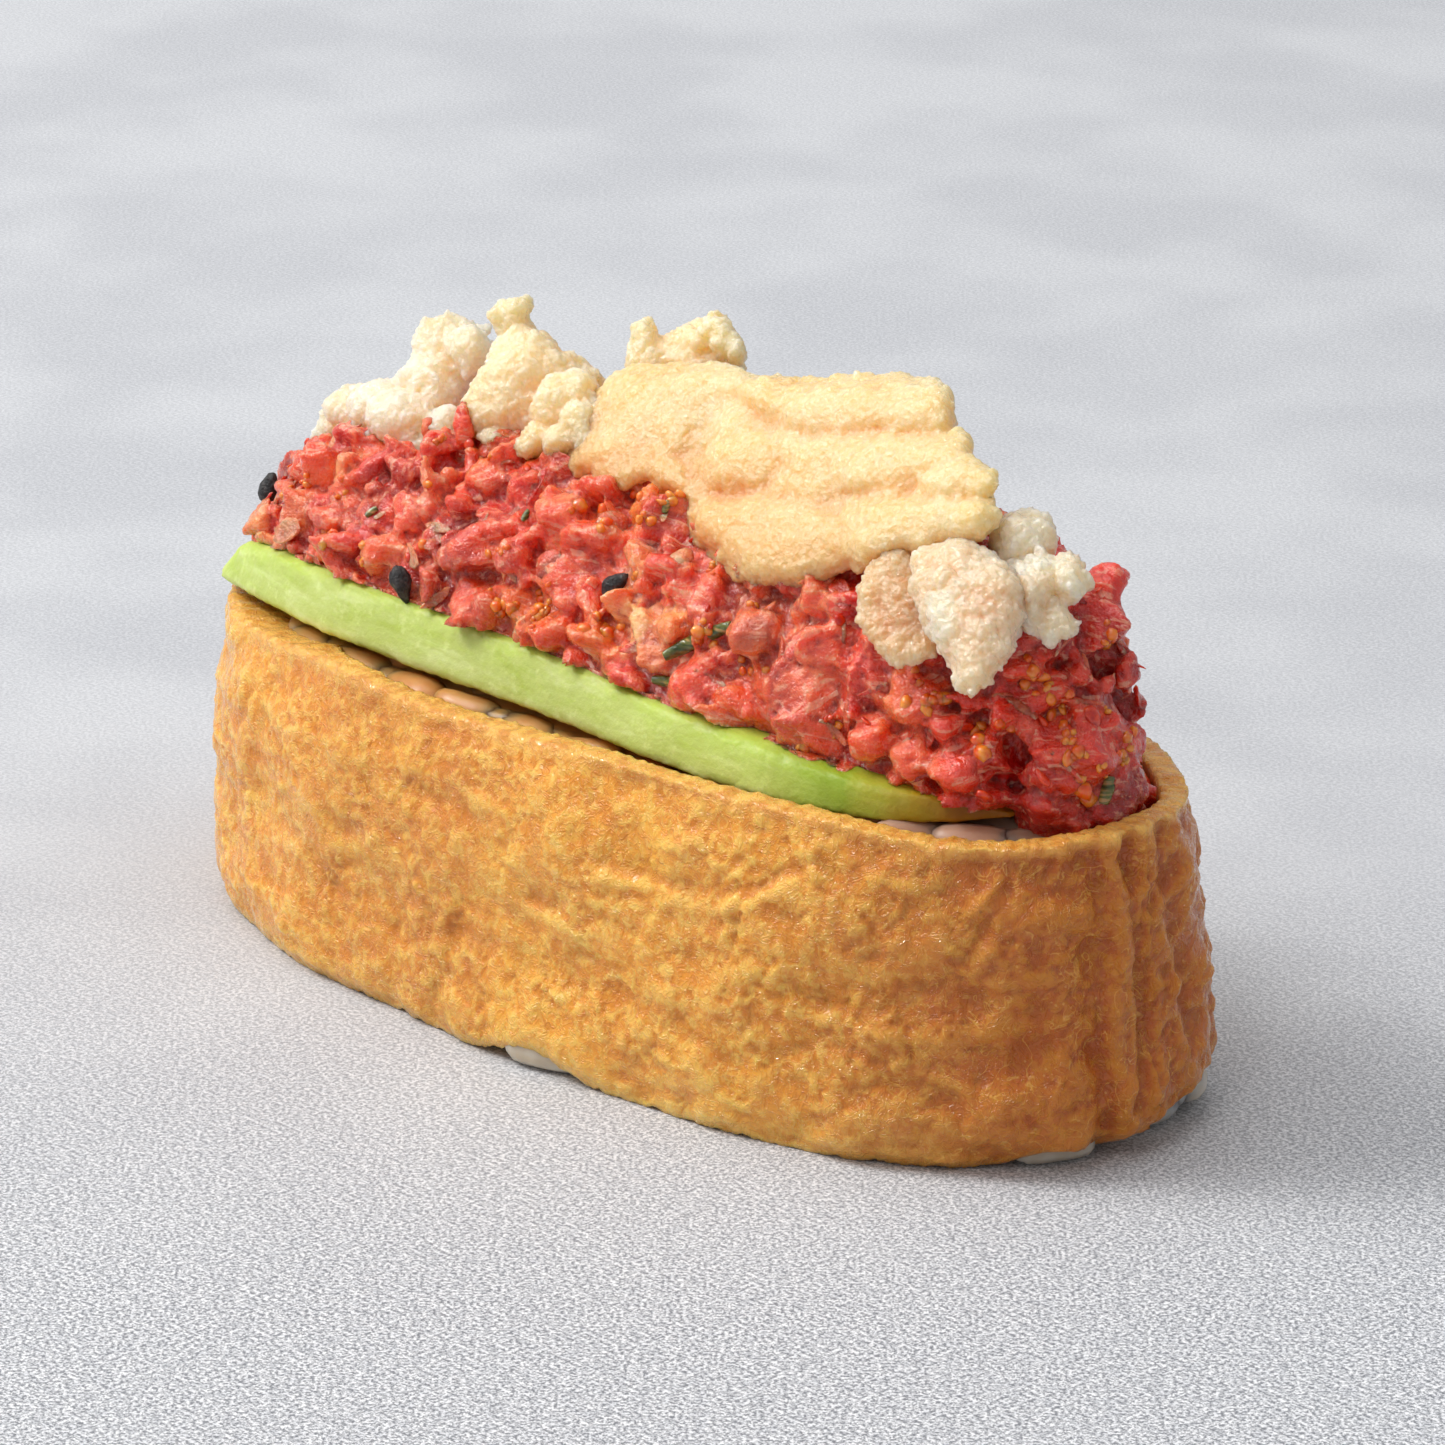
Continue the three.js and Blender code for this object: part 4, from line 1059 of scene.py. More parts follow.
# ---- tuna -----------------------------------------------------------------------------------------------------------
# the larger pieces that show on the -Y side and the +X end:
# x, y, z of the surface there, width and height as seen, how far turned in degrees, and what it is
PIECES = (
    (-16.4, -3.4, 33.0, 1.2, 3.6, -4, "red"), (-32.9, -5.6, 22.6, 2.6, 2.4, 20, "tan"), (-27.4, -5.9, 28.0, 2.7, 3.3, 0, "salmon"), (-26.5, -4.1, 29.7, 2.2, 2.2, 10, "red"), (-22.6, -5.9, 29.5, 3.3, 1.9, 38, "pink"),
    (-23.8, -8.1, 26.4, 3.0, 2.0, -10, "mauve"), (-16.7, -7.8, 28.5, 2.7, 2.6, 0, "pink"), (-15.7, -6.9, 29.6, 1.0, 6.5, 8, "pale"),
    (-12.5, -7.0, 29.9, 2.2, 2.2, 0, "red"), (-11.8, -5.6, 31.1, 2.7, 2.7, 20, "orange"), (-8.1, -5.7, 31.4, 3.1, 2.6, 0, "pink"),
    (-8.7, -8.6, 28.0, 4.9, 2.8, 12, "pink"), (-12.6, -9.8, 25.3, 2.5, 2.5, 0, "peach"), (-10.5, -9.1, 27.0, 2.2, 2.0, 20, "salmon"),
    (-20.3, -9.1, 25.7, 5.1, 1.9, -12, "red"), (-21.0, -9.5, 24.3, 4.0, 2.0, -22, "salmon"), (-27.8, -7.7, 25.4, 2.4, 3.2, 10, "peach"),
    (-32.6, -6.2, 23.6, 2.3, 2.9, 0, "tan"), (-17.0, -9.3, 25.8, 3.1, 2.5, 0, "salmon"), (-8.5, -9.9, 25.4, 3.0, 2.6, 0, "orange"),
    (-4.3, -9.8, 25.8, 2.9, 2.1, -10, "roe"), (-30.0, -5.1, 27.5, 1.9, 2.2, 0, "orange"), (-19.8, -5.9, 30.0, 1.9, 2.5, 60, "red"),
    (-17.5, -4.6, 31.2, 2.3, 2.5, 0, "red"), (-30.9, -5.9, 26.1, 1.7, 1.9, 0, "salmon"), (-4.7, -7.6, 29.7, 2.7, 2.2, 0, "red"),
    (-3.5, -6.8, 30.6, 3.4, 3.5, 0, "pink"), (-0.1, -7.5, 30.1, 3.6, 2.7, -12, "red"), (4.4, -5.9, 31.9, 3.0, 3.7, -20, "deep"),
    (1.6, -5.2, 32.4, 1.9, 2.3, 0, "roe"), (3.9, -7.7, 30.0, 2.4, 2.5, 0, "pale"), (6.3, -7.6, 30.2, 3.2, 1.7, -14, "red"),
    (-0.7, -9.1, 27.5, 4.0, 3.5, 0, "mauve"), (3.7, -9.1, 27.7, 2.0, 1.9, -20, "pale"), (6.2, -9.5, 26.6, 1.6, 3.8, 20, "pale"),
    (8.5, -9.2, 27.4, 2.5, 1.9, 25, "tan"), (10.3, -7.9, 29.7, 2.5, 3.3, -35, "mauve"), (13.3, -8.1, 29.1, 1.8, 1.4, 15, "peach"),
    (11.7, -9.8, 25.0, 3.7, 3.6, 15, "pink"), (14.4, -9.7, 24.7, 2.3, 1.8, 0, "salmon"), (14.8, -8.4, 28.3, 3.0, 2.7, 0, "tan"),
    (18.4, -6.4, 31.4, 4.1, 2.7, 0, "pink"), (19.5, -7.8, 28.6, 4.6, 3.3, 20, "mauve"), (19.5, -8.7, 26.1, 4.7, 3.6, 30, "peach"),
    (22.6, -7.5, 28.1, 2.0, 3.6, 0, "mauve"), (20.3, -9.1, 23.5, 4.7, 2.8, -12, "salmon"), (14.3, -10.0, 23.5, 6.6, 1.8, -16, "orange"),
    (3.1, -10.0, 25.5, 3.6, 2.4, -20, "orange"), (-0.7, -10.1, 25.2, 3.0, 2.2, -15, "orange"), (7.7, -9.8, 25.9, 3.0, 2.4, 0, "tan"),
    (13.6, -6.4, 31.6, 3.6, 2.1, 0, "tan"), (6.7, -10.5, 23.3, 3.6, 1.8, -20, "deep"), (23.6, -7.4, 27.7, 2.2, 4.7, 0, "mauve"),
    (26.3, -6.9, 27.0, 3.3, 3.8, 30, "peach"), (24.5, -8.1, 24.3, 2.6, 2.6, 0, "orange"), (28.6, -6.5, 25.6, 2.4, 2.6, 0, "pink"),
    (26.8, -7.5, 23.5, 2.6, 3.0, 0, "salmon"), (29.8, -6.2, 23.9, 3.8, 3.0, 20, "peach"), (29.6, -5.5, 27.5, 3.4, 1.2, 0, "deep"),
    (31.4, -4.8, 26.8, 2.4, 2.0, 10, "red"), (34.5, -2.1, 25.6, 6.5, 4.9, 0, "wine"), (32.8, -3.4, 27.6, 3.5, 2.9, 0, "deep"),
    (33.4, 0.5, 31.0, 3.7, 3.5, -20, "mauve"), (32.6, 2.4, 33.0, 2.3, 2.7, -20, "salmon"), (32.3, -3.2, 29.3, 3.2, 2.3, 0, "orange"),
    (31.1, -5.8, 21.8, 2.3, 1.7, 0, "deep"), (33.9, -3.7, 21.0, 3.7, 3.0, 0, "deep"), (35.3, -0.1, 21.9, 4.0, 4.2, 0, "deep"),
    (34.2, 2.4, 28.5, 1.5, 2.1, 0, "mauve"), (34.2, -3.0, 23.5, 3.5, 2.9, 0, "wine"), (31.5, -5.3, 24.0, 2.9, 2.9, 0, "deep"),
    (29.7, -2.7, 32.8, 3.5, 3.5, 0, "deep"), (26.8, -5.5, 30.3, 3.5, 2.9, 0, "deep"), (20.8, -6.1, 31.4, 3.5, 2.9, 0, "deep"),
    (31.1, -3.3, 30.8, 3.5, 2.9, 0, "deep"), (29.0, -6.9, 21.3, 2.3, 1.8, -10, "red"), (31.6, -0.5, 32.8, 2.3, 2.9, 0, "red"),
)
# x, y, z, size across, kind
BITS = (
    (32.2, -3.4, 29.2, 0.81, "roe"), (33.8, -2.5, 27.3, 0.81, "roe"), (31.8, -4.7, 25.9, 0.93, "roe"), (33.2, -3.5, 26.4, 0.75, "chilli"),
    (34.8, -1.0, 26.5, 1.05, "chilli"), (35.0, -0.1, 26.8, 0.52, "roe"), (34.4, -2.4, 25.2, 0.81, "roe"), (34.5, -2.4, 24.4, 0.81, "roe"),
    (33.5, -3.8, 23.1, 0.95, "chilli"), (35.3, -0.6, 23.5, 0.58, "roe"), (35.3, 1.6, 24.6, 0.70, "roe"), (35.4, 0.7, 23.8, 0.58, "roe"),
    (30.9, -5.9, 21.7, 1.28, "chilli"), (35.0, -1.9, 22.2, 1.15, "roe"), (27.7, -6.4, 27.1, 0.82, "roe"), (25.7, -7.2, 26.5, 1.0, "roe"),
    (30.3, -5.8, 25.1, 0.93, "roe"), (29.5, -6.0, 25.7, 0.93, "chilli"), (33.0, -3.0, 28.3, 0.70, "roe"), (33.7, 1.8, 30.2, 0.58, "roe"),
    (-3.3, -5.9, 31.5, 0.73, "roe"), (0.6, -4.6, 32.7, 0.85, "roe"), (2.0, -5.6, 32.1, 0.73, "roe"), (3.2, -4.4, 33.0, 0.73, "roe"),
    (-0.5, -6.4, 31.2, 0.73, "roe"), (3.9, -8.1, 29.4, 0.60, "roe"), (2.1, -9.6, 26.6, 0.85, "roe"), (2.9, -9.8, 26.0, 0.72, "roe"),
    (10.5, -9.2, 27.2, 0.72, "roe"), (14.9, -9.2, 26.3, 0.71, "roe"), (13.8, -7.7, 29.8, 0.59, "roe"), (20.2, -7.0, 30.1, 0.82, "chilli"),
    (-2.3, -9.8, 25.9, 0.73, "roe"), (-3.0, -9.6, 26.4, 0.61, "roe"), (-7.7, -8.6, 28.2, 0.61, "roe"), (-5.0, -8.6, 28.3, 0.49, "chilli"),
    (-5.9, -9.9, 25.6, 0.73, "roe"), (-6.5, -10.0, 25.2, 0.61, "roe"), (-2.7, -10.0, 25.5, 0.61, "roe"), (-28.6, -6.4, 26.9, 0.57, "roe"),
    (-30.3, -6.5, 25.8, 0.64, "roe"), (-23.0, -8.7, 25.7, 0.76, "roe"), (-23.5, -9.0, 24.9, 0.76, "roe"), (-16.0, -3.5, 32.0, 0.63, "chilli"),
    (-14.0, -4.3, 31.8, 0.56, "roe"), (-23.7, -7.1, 27.9, 0.51, "roe"), (-15.3, -9.3, 26.1, 0.62, "chilli"), (-9.7, -4.4, 32.1, 0.56, "chilli"),
    (6.8, -6.2, 31.8, 0.54, "chilli"), (9.4, -7.0, 31.0, 0.54, "roe"), (23.4, -8.2, 25.1, 0.59, "chilli"), (19.6, -9.3, 22.9, 0.59, "roe"),
    (31.1, 3.2, 32.3, 0.53, "chilli"),
)
MEAT = {
    "red": rgb(222, 58, 36), "pink": rgb(228, 88, 72), "mauve": rgb(212, 78, 70), "deep": rgb(196, 28, 14), "wine": rgb(190, 38, 26),
    "salmon": rgb(238, 106, 70), "peach": rgb(244, 138, 92), "pale": rgb(246, 168, 134), "tan": rgb(216, 128, 88),
    "orange": rgb(236, 92, 30), "roe": rgb(240, 132, 44),
}


def chopped(rng, radii, turn, centre, facets=5, level=3):
    """One chopped piece of fish: a soft lump with a few flat cuts."""
    v0, f = ICO[level]
    v = v0.copy()
    for _ in range(facets):
        n = rng.normal(size=3)
        n /= np.linalg.norm(n)
        cut = rng.uniform(0.42, 0.80)
        over = v @ n - cut
        v = np.where((over > 0)[:, None], v - 0.94 * over[:, None] * n, v)
    v = v * (1 + 0.34 * fbm(v0 * 0.9 + rng.uniform(0, 500), 2, 70))[:, None] * radii * 1.12
    return v @ turn.T + centre, f


def make_tuna():
    rng = np.random.default_rng(23)
    n = 120
    a = np.arange(n) / n * 2 * np.pi
    nn = np.where(np.cos(a) > 0, HN[1], HN[0])
    ox, oy = sgnpow(np.cos(a), 2 / nn) * HA, sgnpow(np.sin(a), 2 / nn) * HB
    rings = []
    for k, z in ((0.90, HZ + 0.6), (0.93, HZ + 1.6)):
        rings.append(np.stack([HX + ox * k, HY + oy * k, np.full(n, z)], 1))
    for k in (0.93, 0.88, 0.80, 0.68, 0.52, 0.34, 0.16):
        x, y = HX + ox * k * 0.99, HY + oy * k
        rings.append(np.stack([x, y, np.maximum(heap_top(HX + ox * k / 0.985, HY + oy * k / 0.985) - 1.25, HZ + 1.7)], 1))
    inner = stack("tuna_inner", np.stack(rings))
    inner_v = coords(inner)
    inner_f = np.array([list(q.vertices) for q in inner.data.polygons])
    bpy.data.objects.remove(inner)

    def surface_normal(x, y):
        e = 0.15
        gx = (heap_top(np.float64(x + e), np.float64(y)) - heap_top(np.float64(x - e), np.float64(y))) / (2 * e)
        gy = (heap_top(np.float64(x), np.float64(y + e)) - heap_top(np.float64(x), np.float64(y - e))) / (2 * e)
        g = np.array([-np.clip(gx, -6, 6), -np.clip(gy, -6, 6), 1.0])
        return g / np.linalg.norm(g)

    parts = [(inner_v, inner_f)]
    at, size, turns, colour = [], [], [], []

    def tint(kind, x):
        c = np.array(MEAT[kind]) * rng.uniform(0.80, 1.14)
        c[1] *= 1 + 0.25 * rng.uniform(-1, 1)
        return c

    def add(c, radii, turn, kind, facets=5, level=3):
        parts.append(chopped(rng, radii, turn, c, facets, level))
        at.append(c)
        size.append(float(np.prod(radii) ** (1 / 3)))
        turns.append(turn)
        colour.append(tint(kind, c[0]))

    for x, y, z, w, h, deg, kind in PIECES:
        a = math.radians(deg)
        ax = RIGHT * math.cos(a) + UP * math.sin(a)
        ay = -RIGHT * math.sin(a) + UP * math.cos(a)
        depth = min(w, h) * 0.5 + 0.4
        c = np.array([x, y, z]) - BACK * (depth * 0.62)
        add(c, np.array([w * 0.58, h * 0.58, depth]), np.stack([ax, ay, BACK], 1), kind, 7, 4)

    names = list(MEAT)
    base_w = np.array([0.20, 0.18, 0.13, 0.13, 0.05, 0.12, 0.07, 0.04, 0.03, 0.04, 0.01])
    # toward the +X end the mound is darker and redder: painted shade of the end turned from the light
    end_w = np.array([0.30, 0.06, 0.06, 0.34, 0.12, 0.04, 0.01, 0.01, 0.01, 0.04, 0.01])

    def pick(x):
        k = smooth(14.0, 30.0, np.float64(x))
        w = base_w * (1 - k) + end_w * k
        return names[rng.choice(len(names), p=w / w.sum())]

    grid = {}

    def crowded(c, gap):
        key = tuple((c // 3).astype(int))
        for i in (-1, 0, 1):
            for j in (-1, 0, 1):
                for k in (-1, 0, 1):
                    for q in grid.get((key[0] + i, key[1] + j, key[2] + k), ()):
                        if ((q - c) ** 2).sum() < gap * gap:
                            return True
        return False

    def note(c):
        grid.setdefault(tuple((c // 3).astype(int)), []).append(c)

    ks = np.linspace(0.5, 1.0, 60)

    def spot():
        """A random place on the mound's skin, and which way it faces."""
        if rng.uniform() < 0.5:
            a = rng.uniform(0, 2 * np.pi)
            nn = HN[1] if math.cos(a) > 0 else HN[0]
            ex, ey = float(sgnpow(np.float64(math.cos(a)), 2 / nn)) * HA, float(sgnpow(np.float64(math.sin(a)), 2 / nn)) * HB
            tops = heap_top(HX + ex * ks, HY + ey * ks)
            z = rng.uniform(HZ + 1.0, max(HZ + 1.5, tops[0]))
            k = ks[np.argmin(np.abs(tops - z))]
            x, y = HX + ex * k, HY + ey * k
            return np.array([x, y, z]), surface_normal(x, y)
        x = HX + rng.uniform(-1, 1) * (HA - 0.8)
        nn1 = HN[1] if x > HX else HN[0]
        half = HB * max(0.0, 1 - abs((x - HX) / HA) ** nn1) ** (1 / nn1)
        y = HY + rng.uniform(-0.93, 0.93) * half
        return np.array([x, y, float(heap_top(np.float64(x), np.float64(y)))]), surface_normal(x, y)

    for c in at:
        note(c)
    for _ in range(9000):
        p0, nrm = spot()
        r = np.sort(rng.uniform(1.0, 2.5, 3))[::-1] * np.array([1.2, 1.0, 0.85])
        c = p0 - nrm * r[1] * rng.uniform(0.66, 0.98)
        if c[2] < HZ + 0.9 or crowded(c, 2.15):
            continue
        note(c)
        add(c, r, spin(rng), pick(c[0]), 11, 3)
    # crumbs over and between them
    grid.clear()
    for _ in range(6000):
        p0, nrm = spot()
        r = rng.uniform(0.32, 0.85, 3) * rng.uniform(0.8, 1.2)
        c = p0 - nrm * rng.uniform(0.15, 0.85)
        if c[2] < HZ + 0.9 or crowded(c, 2.0):
            continue
        note(c)
        add(c, r, spin(rng), pick(c[0]), 2, 2)

    ob = remeshed("tuna_chopped", *joined(parts), 0.262, 190000)
    relax(ob, 1, 0.5)
    co, nr = coords(ob), normals(ob)
    # which piece every point belongs to, softly
    C, R = np.array(at, np.float32), np.array(size, np.float32)
    col_of, turn_of = np.array(colour), np.array(turns)
    col = np.zeros((len(co), 3))
    who = np.zeros(len(co), int)
    gap = np.zeros(len(co))
    wob = co + 0.45 * np.stack([fbm(co * 0.9, 2, 71), fbm(co * 0.9 + 30, 2, 72), fbm(co * 0.9 + 60, 2, 73)], 1)
    for k in range(0, len(co), 4000):
        q = wob[k:k + 4000].astype(np.float32)
        d = np.sqrt(np.maximum(0, (q**2).sum(1)[:, None] + (C**2).sum(1)[None] - 2 * q @ C.T)) - R[None]
        who[k:k + 4000] = d.argmin(1)
        two = np.partition(d, 1, axis=1)
        gap[k:k + 4000] = two[:, 1] - two[:, 0]
        w = np.exp(-(d - d.min(1)[:, None]) / 0.10)
        col[k:k + 4000] = (w @ col_of) / w.sum(1)[:, None]
    # each piece has its own grain, which creases it
    local = np.einsum("ni,nij->nj", co - C[who].astype(float), turn_of[who])
    seed = (who * 7.31 % 97.0)[:, None]
    W = co + 0.55 * np.stack([fbm(co * 0.7 + 5, 2, 74), fbm(co * 0.7 + 35, 2, 75), fbm(co * 0.7 + 65, 2, 76)], 1)
    grain_at = 0.5 * local * np.array([0.40, 1.25, 1.25]) + seed
    fold = np.clip(1 - 4.2 * np.abs(fbm(grain_at * 1.3, 2, 77)), 0, 1) ** 1.6
    fold2 = np.clip(1 - 4.5 * np.abs(fbm(W * 0.62, 2, 78)), 0, 1) ** 1.6
    # pieces stand apart: hollows sink, crowns rise
    d = -0.25 * np.clip(hollows(ob, 12), -0.28, 0.40) - 0.05 * np.exp(-(gap / 0.22) ** 2)
    d += -0.13 * fold - 0.15 * fold2 + 0.10 * fbm(W * 0.95, 2, 79) + 0.08 * fbm(W * 2.2, 2, 80) + 0.05
    S = np.linspace(0, 1, 361)[:-1]
    wall, wn = band_point(S, np.full(len(S), 19.5), BAND_T + 0.15)

    def kept_clear(co):
        """Clear of the avocado's face and the band's inner wall, and above the rice."""
        co = co.copy()
        ax = np.clip(co[:, 0], AVO_EDGE[0, 0], AVO_EDGE[-1, 0])
        edge = along(AVO_EDGE, ax, 1)
        topz = AVO_BOTTOM + along(AVO_EDGE, ax, 2)
        back = edge + along(AVO_EDGE, ax, 3)
        in_x = (co[:, 0] > AVO_EDGE[0, 0] - 0.2) & (co[:, 0] < AVO_EDGE[-1, 0] - 0.3)
        low = in_x & (co[:, 2] < topz + 0.05) & (co[:, 1] < back)
        front = low & (co[:, 1] < edge + 0.9)
        co[:, 1] = np.where(front, edge + 0.9, co[:, 1])
        raised = low & (topz - co[:, 2] < 1.6)
        co[:, 2] = np.where(raised, topz + 0.04, co[:, 2])
        under = (co[:, 0] > -38) & (co[:, 0] < AVO_EDGE[-1, 0] - 0.3) & (co[:, 1] < back + 0.6)
        co[:, 2] = np.where(under, np.maximum(co[:, 2], AVO_BOTTOM + 0.3), co[:, 2])
        # and nothing hangs past the blunt end of the slice
        past = (co[:, 0] < AVO_EDGE[0, 0] - 0.2) & (co[:, 2] < AVO_BOTTOM + 2.3)
        co[:, 0] = np.where(past, AVO_EDGE[0, 0] - 0.2, co[:, 0])
        lowz = np.where(co[:, 2] < 20.6)[0]
        if len(lowz):
            dd = ((co[lowz, None, :2] - wall[None, ::2, :2]) ** 2).sum(2)
            kk = dd.argmin(1) * 2
            over = ((co[lowz, :2] - wall[kk, :2]) * wn[kk, :2]).sum(1)
            co[lowz, :2] -= wn[kk, :2] * np.clip(over, 0, None)[:, None]
        co[:, 2] = np.maximum(co[:, 2], HZ + 0.3)
        return co

    co = kept_clear(co + nr * d[:, None])
    set_coords(ob, co)
    # colour: pale sinew along the grain, crowns painted paler as light, hollows painted deep red as shade, chilli oil
    # in patches
    deep = hollows(ob, 5)
    wide = hollows(ob, 22)
    sinew = np.clip(2.8 * fbm(grain_at * np.array([0.7, 3.0, 3.0]) + 9, 2, 81) - 0.55, 0, 1)
    col += (np.array(rgb(250, 172, 138)) - col) * (0.60 * sinew)[:, None]
    # painted light: the crowns of the lumps paler
    crown = np.clip(-deep * 7.0 - 0.10, 0, 1)
    col += (np.array(rgb(250, 158, 116)) - col) * (0.30 * crown)[:, None]
    # broad drifts from dark lean meat to paler, oilier meat
    drift = fbm(co * 0.15 + 17, 2, 99)
    col *= (0.96 + 0.85 * np.clip(drift, -0.5, 0.4))[:, None] * np.stack([1 + 0 * drift, 1 + 0.9 * drift, 1 + 0.6 * drift], 1)
    # the thin edges of the pieces are paler
    rim = np.exp(-(((gap - 0.50) / 0.26) ** 2)) * smooth(0.06, -0.02, deep) * smooth(-0.25, 0.35, fbm(co * 0.6 + 80, 2, 98))
    col += (np.array(rgb(252, 170, 122)) - col) * (0.55 * rim)[:, None]
    # roe and oil rubbed into the meat around the clusters
    for x, y, z, size, kind in BITS:
        if kind == "roe":
            near = np.exp(-(((co - [x, y, z]) ** 2).sum(1)) / (0.8 + 0.5 * size) ** 2)
            col += (np.array(rgb(246, 132, 44)) - col) * (0.60 * near)[:, None]
    oil = smooth(0.05, 0.42, fbm(co * 0.26 + 40, 3, 82) + 0.10 * smooth(27, 21, co[:, 2]))
    col += (np.array(rgb(240, 92, 16)) - col) * (0.55 * oil)[:, None]
    # painted shade: the hollows, and the broader hollows, darkened to deep red
    col += (np.array(rgb(160, 10, 4)) - col) * (0.68 * np.clip(deep * 5.0 - 0.05, 0, 1))[:, None]
    col += (np.array(rgb(140, 6, 2)) - col) * (0.58 * smooth(0.05, 0.7, wide))[:, None]
    # painted shade: towards the +X end, turned from the light, the meat's green and blue are taken down
    dusk = smooth(18.0, 32.0, co[:, 0])
    col *= np.array([1.07, 0.74, 0.52]) * (1 - dusk[:, None] * np.array([0.04, 0.66, 0.66]))
    paint(ob, "meat", np.clip(col, 0, 1))
    paint(ob, "fibre", grain_at)

    # thin flaps and strands that stand up from the mound
    tree = BVHTree.FromPolygons([tuple(v) for v in co], [tuple(q.vertices) for q in ob.data.polygons])
    flaps, flap_col = [], []
    for k in range(240):
        p0, nrm = spot()
        if p0[2] < HZ + 2.6:
            continue
        hit = tree.find_nearest(Vector(p0))
        p0, nn_ = np.array(hit[0]), np.array(hit[1])
        nrm = nrm + 0.6 * nn_
        nrm /= np.linalg.norm(nrm)
        v0, f = ICO[3]
        along_skin = spin(rng)[:, 0]
        along_skin -= nrm * (along_skin @ nrm)
        along_skin /= np.linalg.norm(along_skin)
        side = np.cross(nrm, along_skin)
        if k % 7:
            r = np.array([rng.uniform(0.5, 1.5), rng.uniform(0.14, 0.34), rng.uniform(0.08, 0.12)])
            lean, lift_up = rng.uniform(-0.1, 0.2), -0.03
        else:
            r = np.array([rng.uniform(0.8, 1.4), rng.uniform(0.5, 0.9), rng.uniform(0.12, 0.18)])
            lean, lift_up = rng.uniform(0.1, 0.5), 0.0
        v = v0 * (1 + 0.30 * fbm(v0 * 1.5 + rng.uniform(0, 500), 2, 83))[:, None] * r
        v[:, 2] += rng.uniform(-0.35, 0.35) * v[:, 0] ** 2 / max(r[0], 0.5) + rng.uniform(-0.5, 0.5) * v[:, 1] ** 2 / max(r[1], 0.4)
        v[:, 2] += 0.12 * fbm(v * 1.6 + rng.uniform(0, 500), 2, 84)
        ca, sa = math.cos(lean), math.sin(lean)
        turn = np.stack([along_skin, side * ca + nrm * sa, nrm * ca - side * sa], 1)
        v = v @ turn.T + p0 + nrm * lift_up
        c = tint(("pale", "peach", "salmon", "salmon", "orange", "pink", "red")[rng.integers(0, 7)], p0[0])
        shade = np.tile(c, (len(v), 1)) * (0.85 + 0.5 * fbm(v * 1.1, 2, 85))[:, None] * np.array([1.07, 0.74, 0.52])
        up = (v - p0) @ nrm
        # painted shade: where a flap lies low against the mound it is darkened to deep red
        shade += (np.array(rgb(172, 16, 8)) - shade) * (0.7 * smooth(0.15, -0.30, up))[:, None]
        # painted shade towards the +X end, as on the mound
        k2 = smooth(18.0, 32.0, np.float64(p0[0]))
        shade *= 1 - k2 * np.array([0.04, 0.60, 0.62])
        flaps.append((v, f))
        flap_col.append(shade)
    v, f = joined(flaps)
    scraps = mesh_of("tuna_scraps", kept_clear(v), f)
    turn_out(scraps)
    paint(scraps, "meat", np.clip(np.concatenate(flap_col), 0, 1))
    paint(scraps, "fibre", coords(scraps) * 0.4)
    return ob, scraps, tree


def tuna_material():
    m = Mat("tuna_meat")
    meat = m.attr("meat")
    # fibres that follow the grain of every piece
    along_grain = m.node("ShaderNodeVectorMath", operation="MULTIPLY")
    m.put(along_grain.inputs[0], m.attr("fibre", "Vector"))
    along_grain.inputs[1].default_value = (1.3, 3.4, 3.4)
    fib = m.noise(1, 4, 0.6, 0.5, vector=along_grain.outputs[0])
    col = m.mix(m.math("MULTIPLY", m.ramp(fib, (0.53, 0.0), (0.65, 1.0)), 0.52), meat, rgb(255, 196, 162))
    col = m.mix(m.math("MULTIPLY", m.ramp(fib, (0.32, 1.0), (0.47, 0.0)), 0.36), col, rgb(172, 22, 12))
    fine = m.noise(0.8, 4, 0.65, 0.6)
    col = m.mix(m.math("MULTIPLY", m.ramp(fine, (0.56, 0.0), (0.74, 1.0)), 0.30), col, rgb(250, 150, 92))
    dark = m.ramp(m.noise(1.1, 3, 0.6, 0.5), (0.28, 1.0), (0.46, 0.0))
    col = m.mix(m.math("MULTIPLY", dark, 0.25), col, rgb(176, 18, 8))
    m.set(Base_Color=col, Roughness=m.ramp(m.noise(0.7, 3, 0.6), (0.36, 0.22), (0.66, 0.44)), Subsurface_Weight=0.75,
          Subsurface_Radius=(1.0, 0.24, 0.14), Subsurface_Scale=0.0018, Specular_IOR_Level=0.45,
          Coat_Weight=1.0, Coat_Roughness=0.05, Coat_IOR=1.42)
    n = m.bump(
        (m.noise(1, 3, 0.6, 0.9, vector=m.scaled(0.8, 0.8, 0.6)), 0.55, 0.13),
        (fib, 0.75, 0.14),
        (m.cells(0.42, "SMOOTH_F1", smoothness=0.4), 0.35, 0.05),
        (m.noise(0.25, 2, 0.65), 1.0, 0.15),
    )
    m.put(m.b.inputs["Coat Normal"], n)
    return m.m


tuna, tuna_scraps, tuna_tree = make_tuna()
tuna_look = tuna_material()
for o in (tuna, tuna_scraps):
    o.data.materials.append(tuna_look)
placed(tuna, "tuna", "tuna_tartare")
placed(tuna_scraps, "tuna")


# ---- roe, chilli, sesame and spring onion in the tuna ---------------------------------------------------------------------
def on_tuna(p, towards=BACK):
    """The nearest point of the tuna's skin to p, seen from outside, and the skin's normal there."""
    p = Vector(p)
    t = Vector(towards)
    hit = tuna_tree.ray_cast(p + t * 12, -t, 24)
    if hit[0] is None:
        hit = tuna_tree.find_nearest(p)
    return np.array(hit[0]), np.array(hit[1])



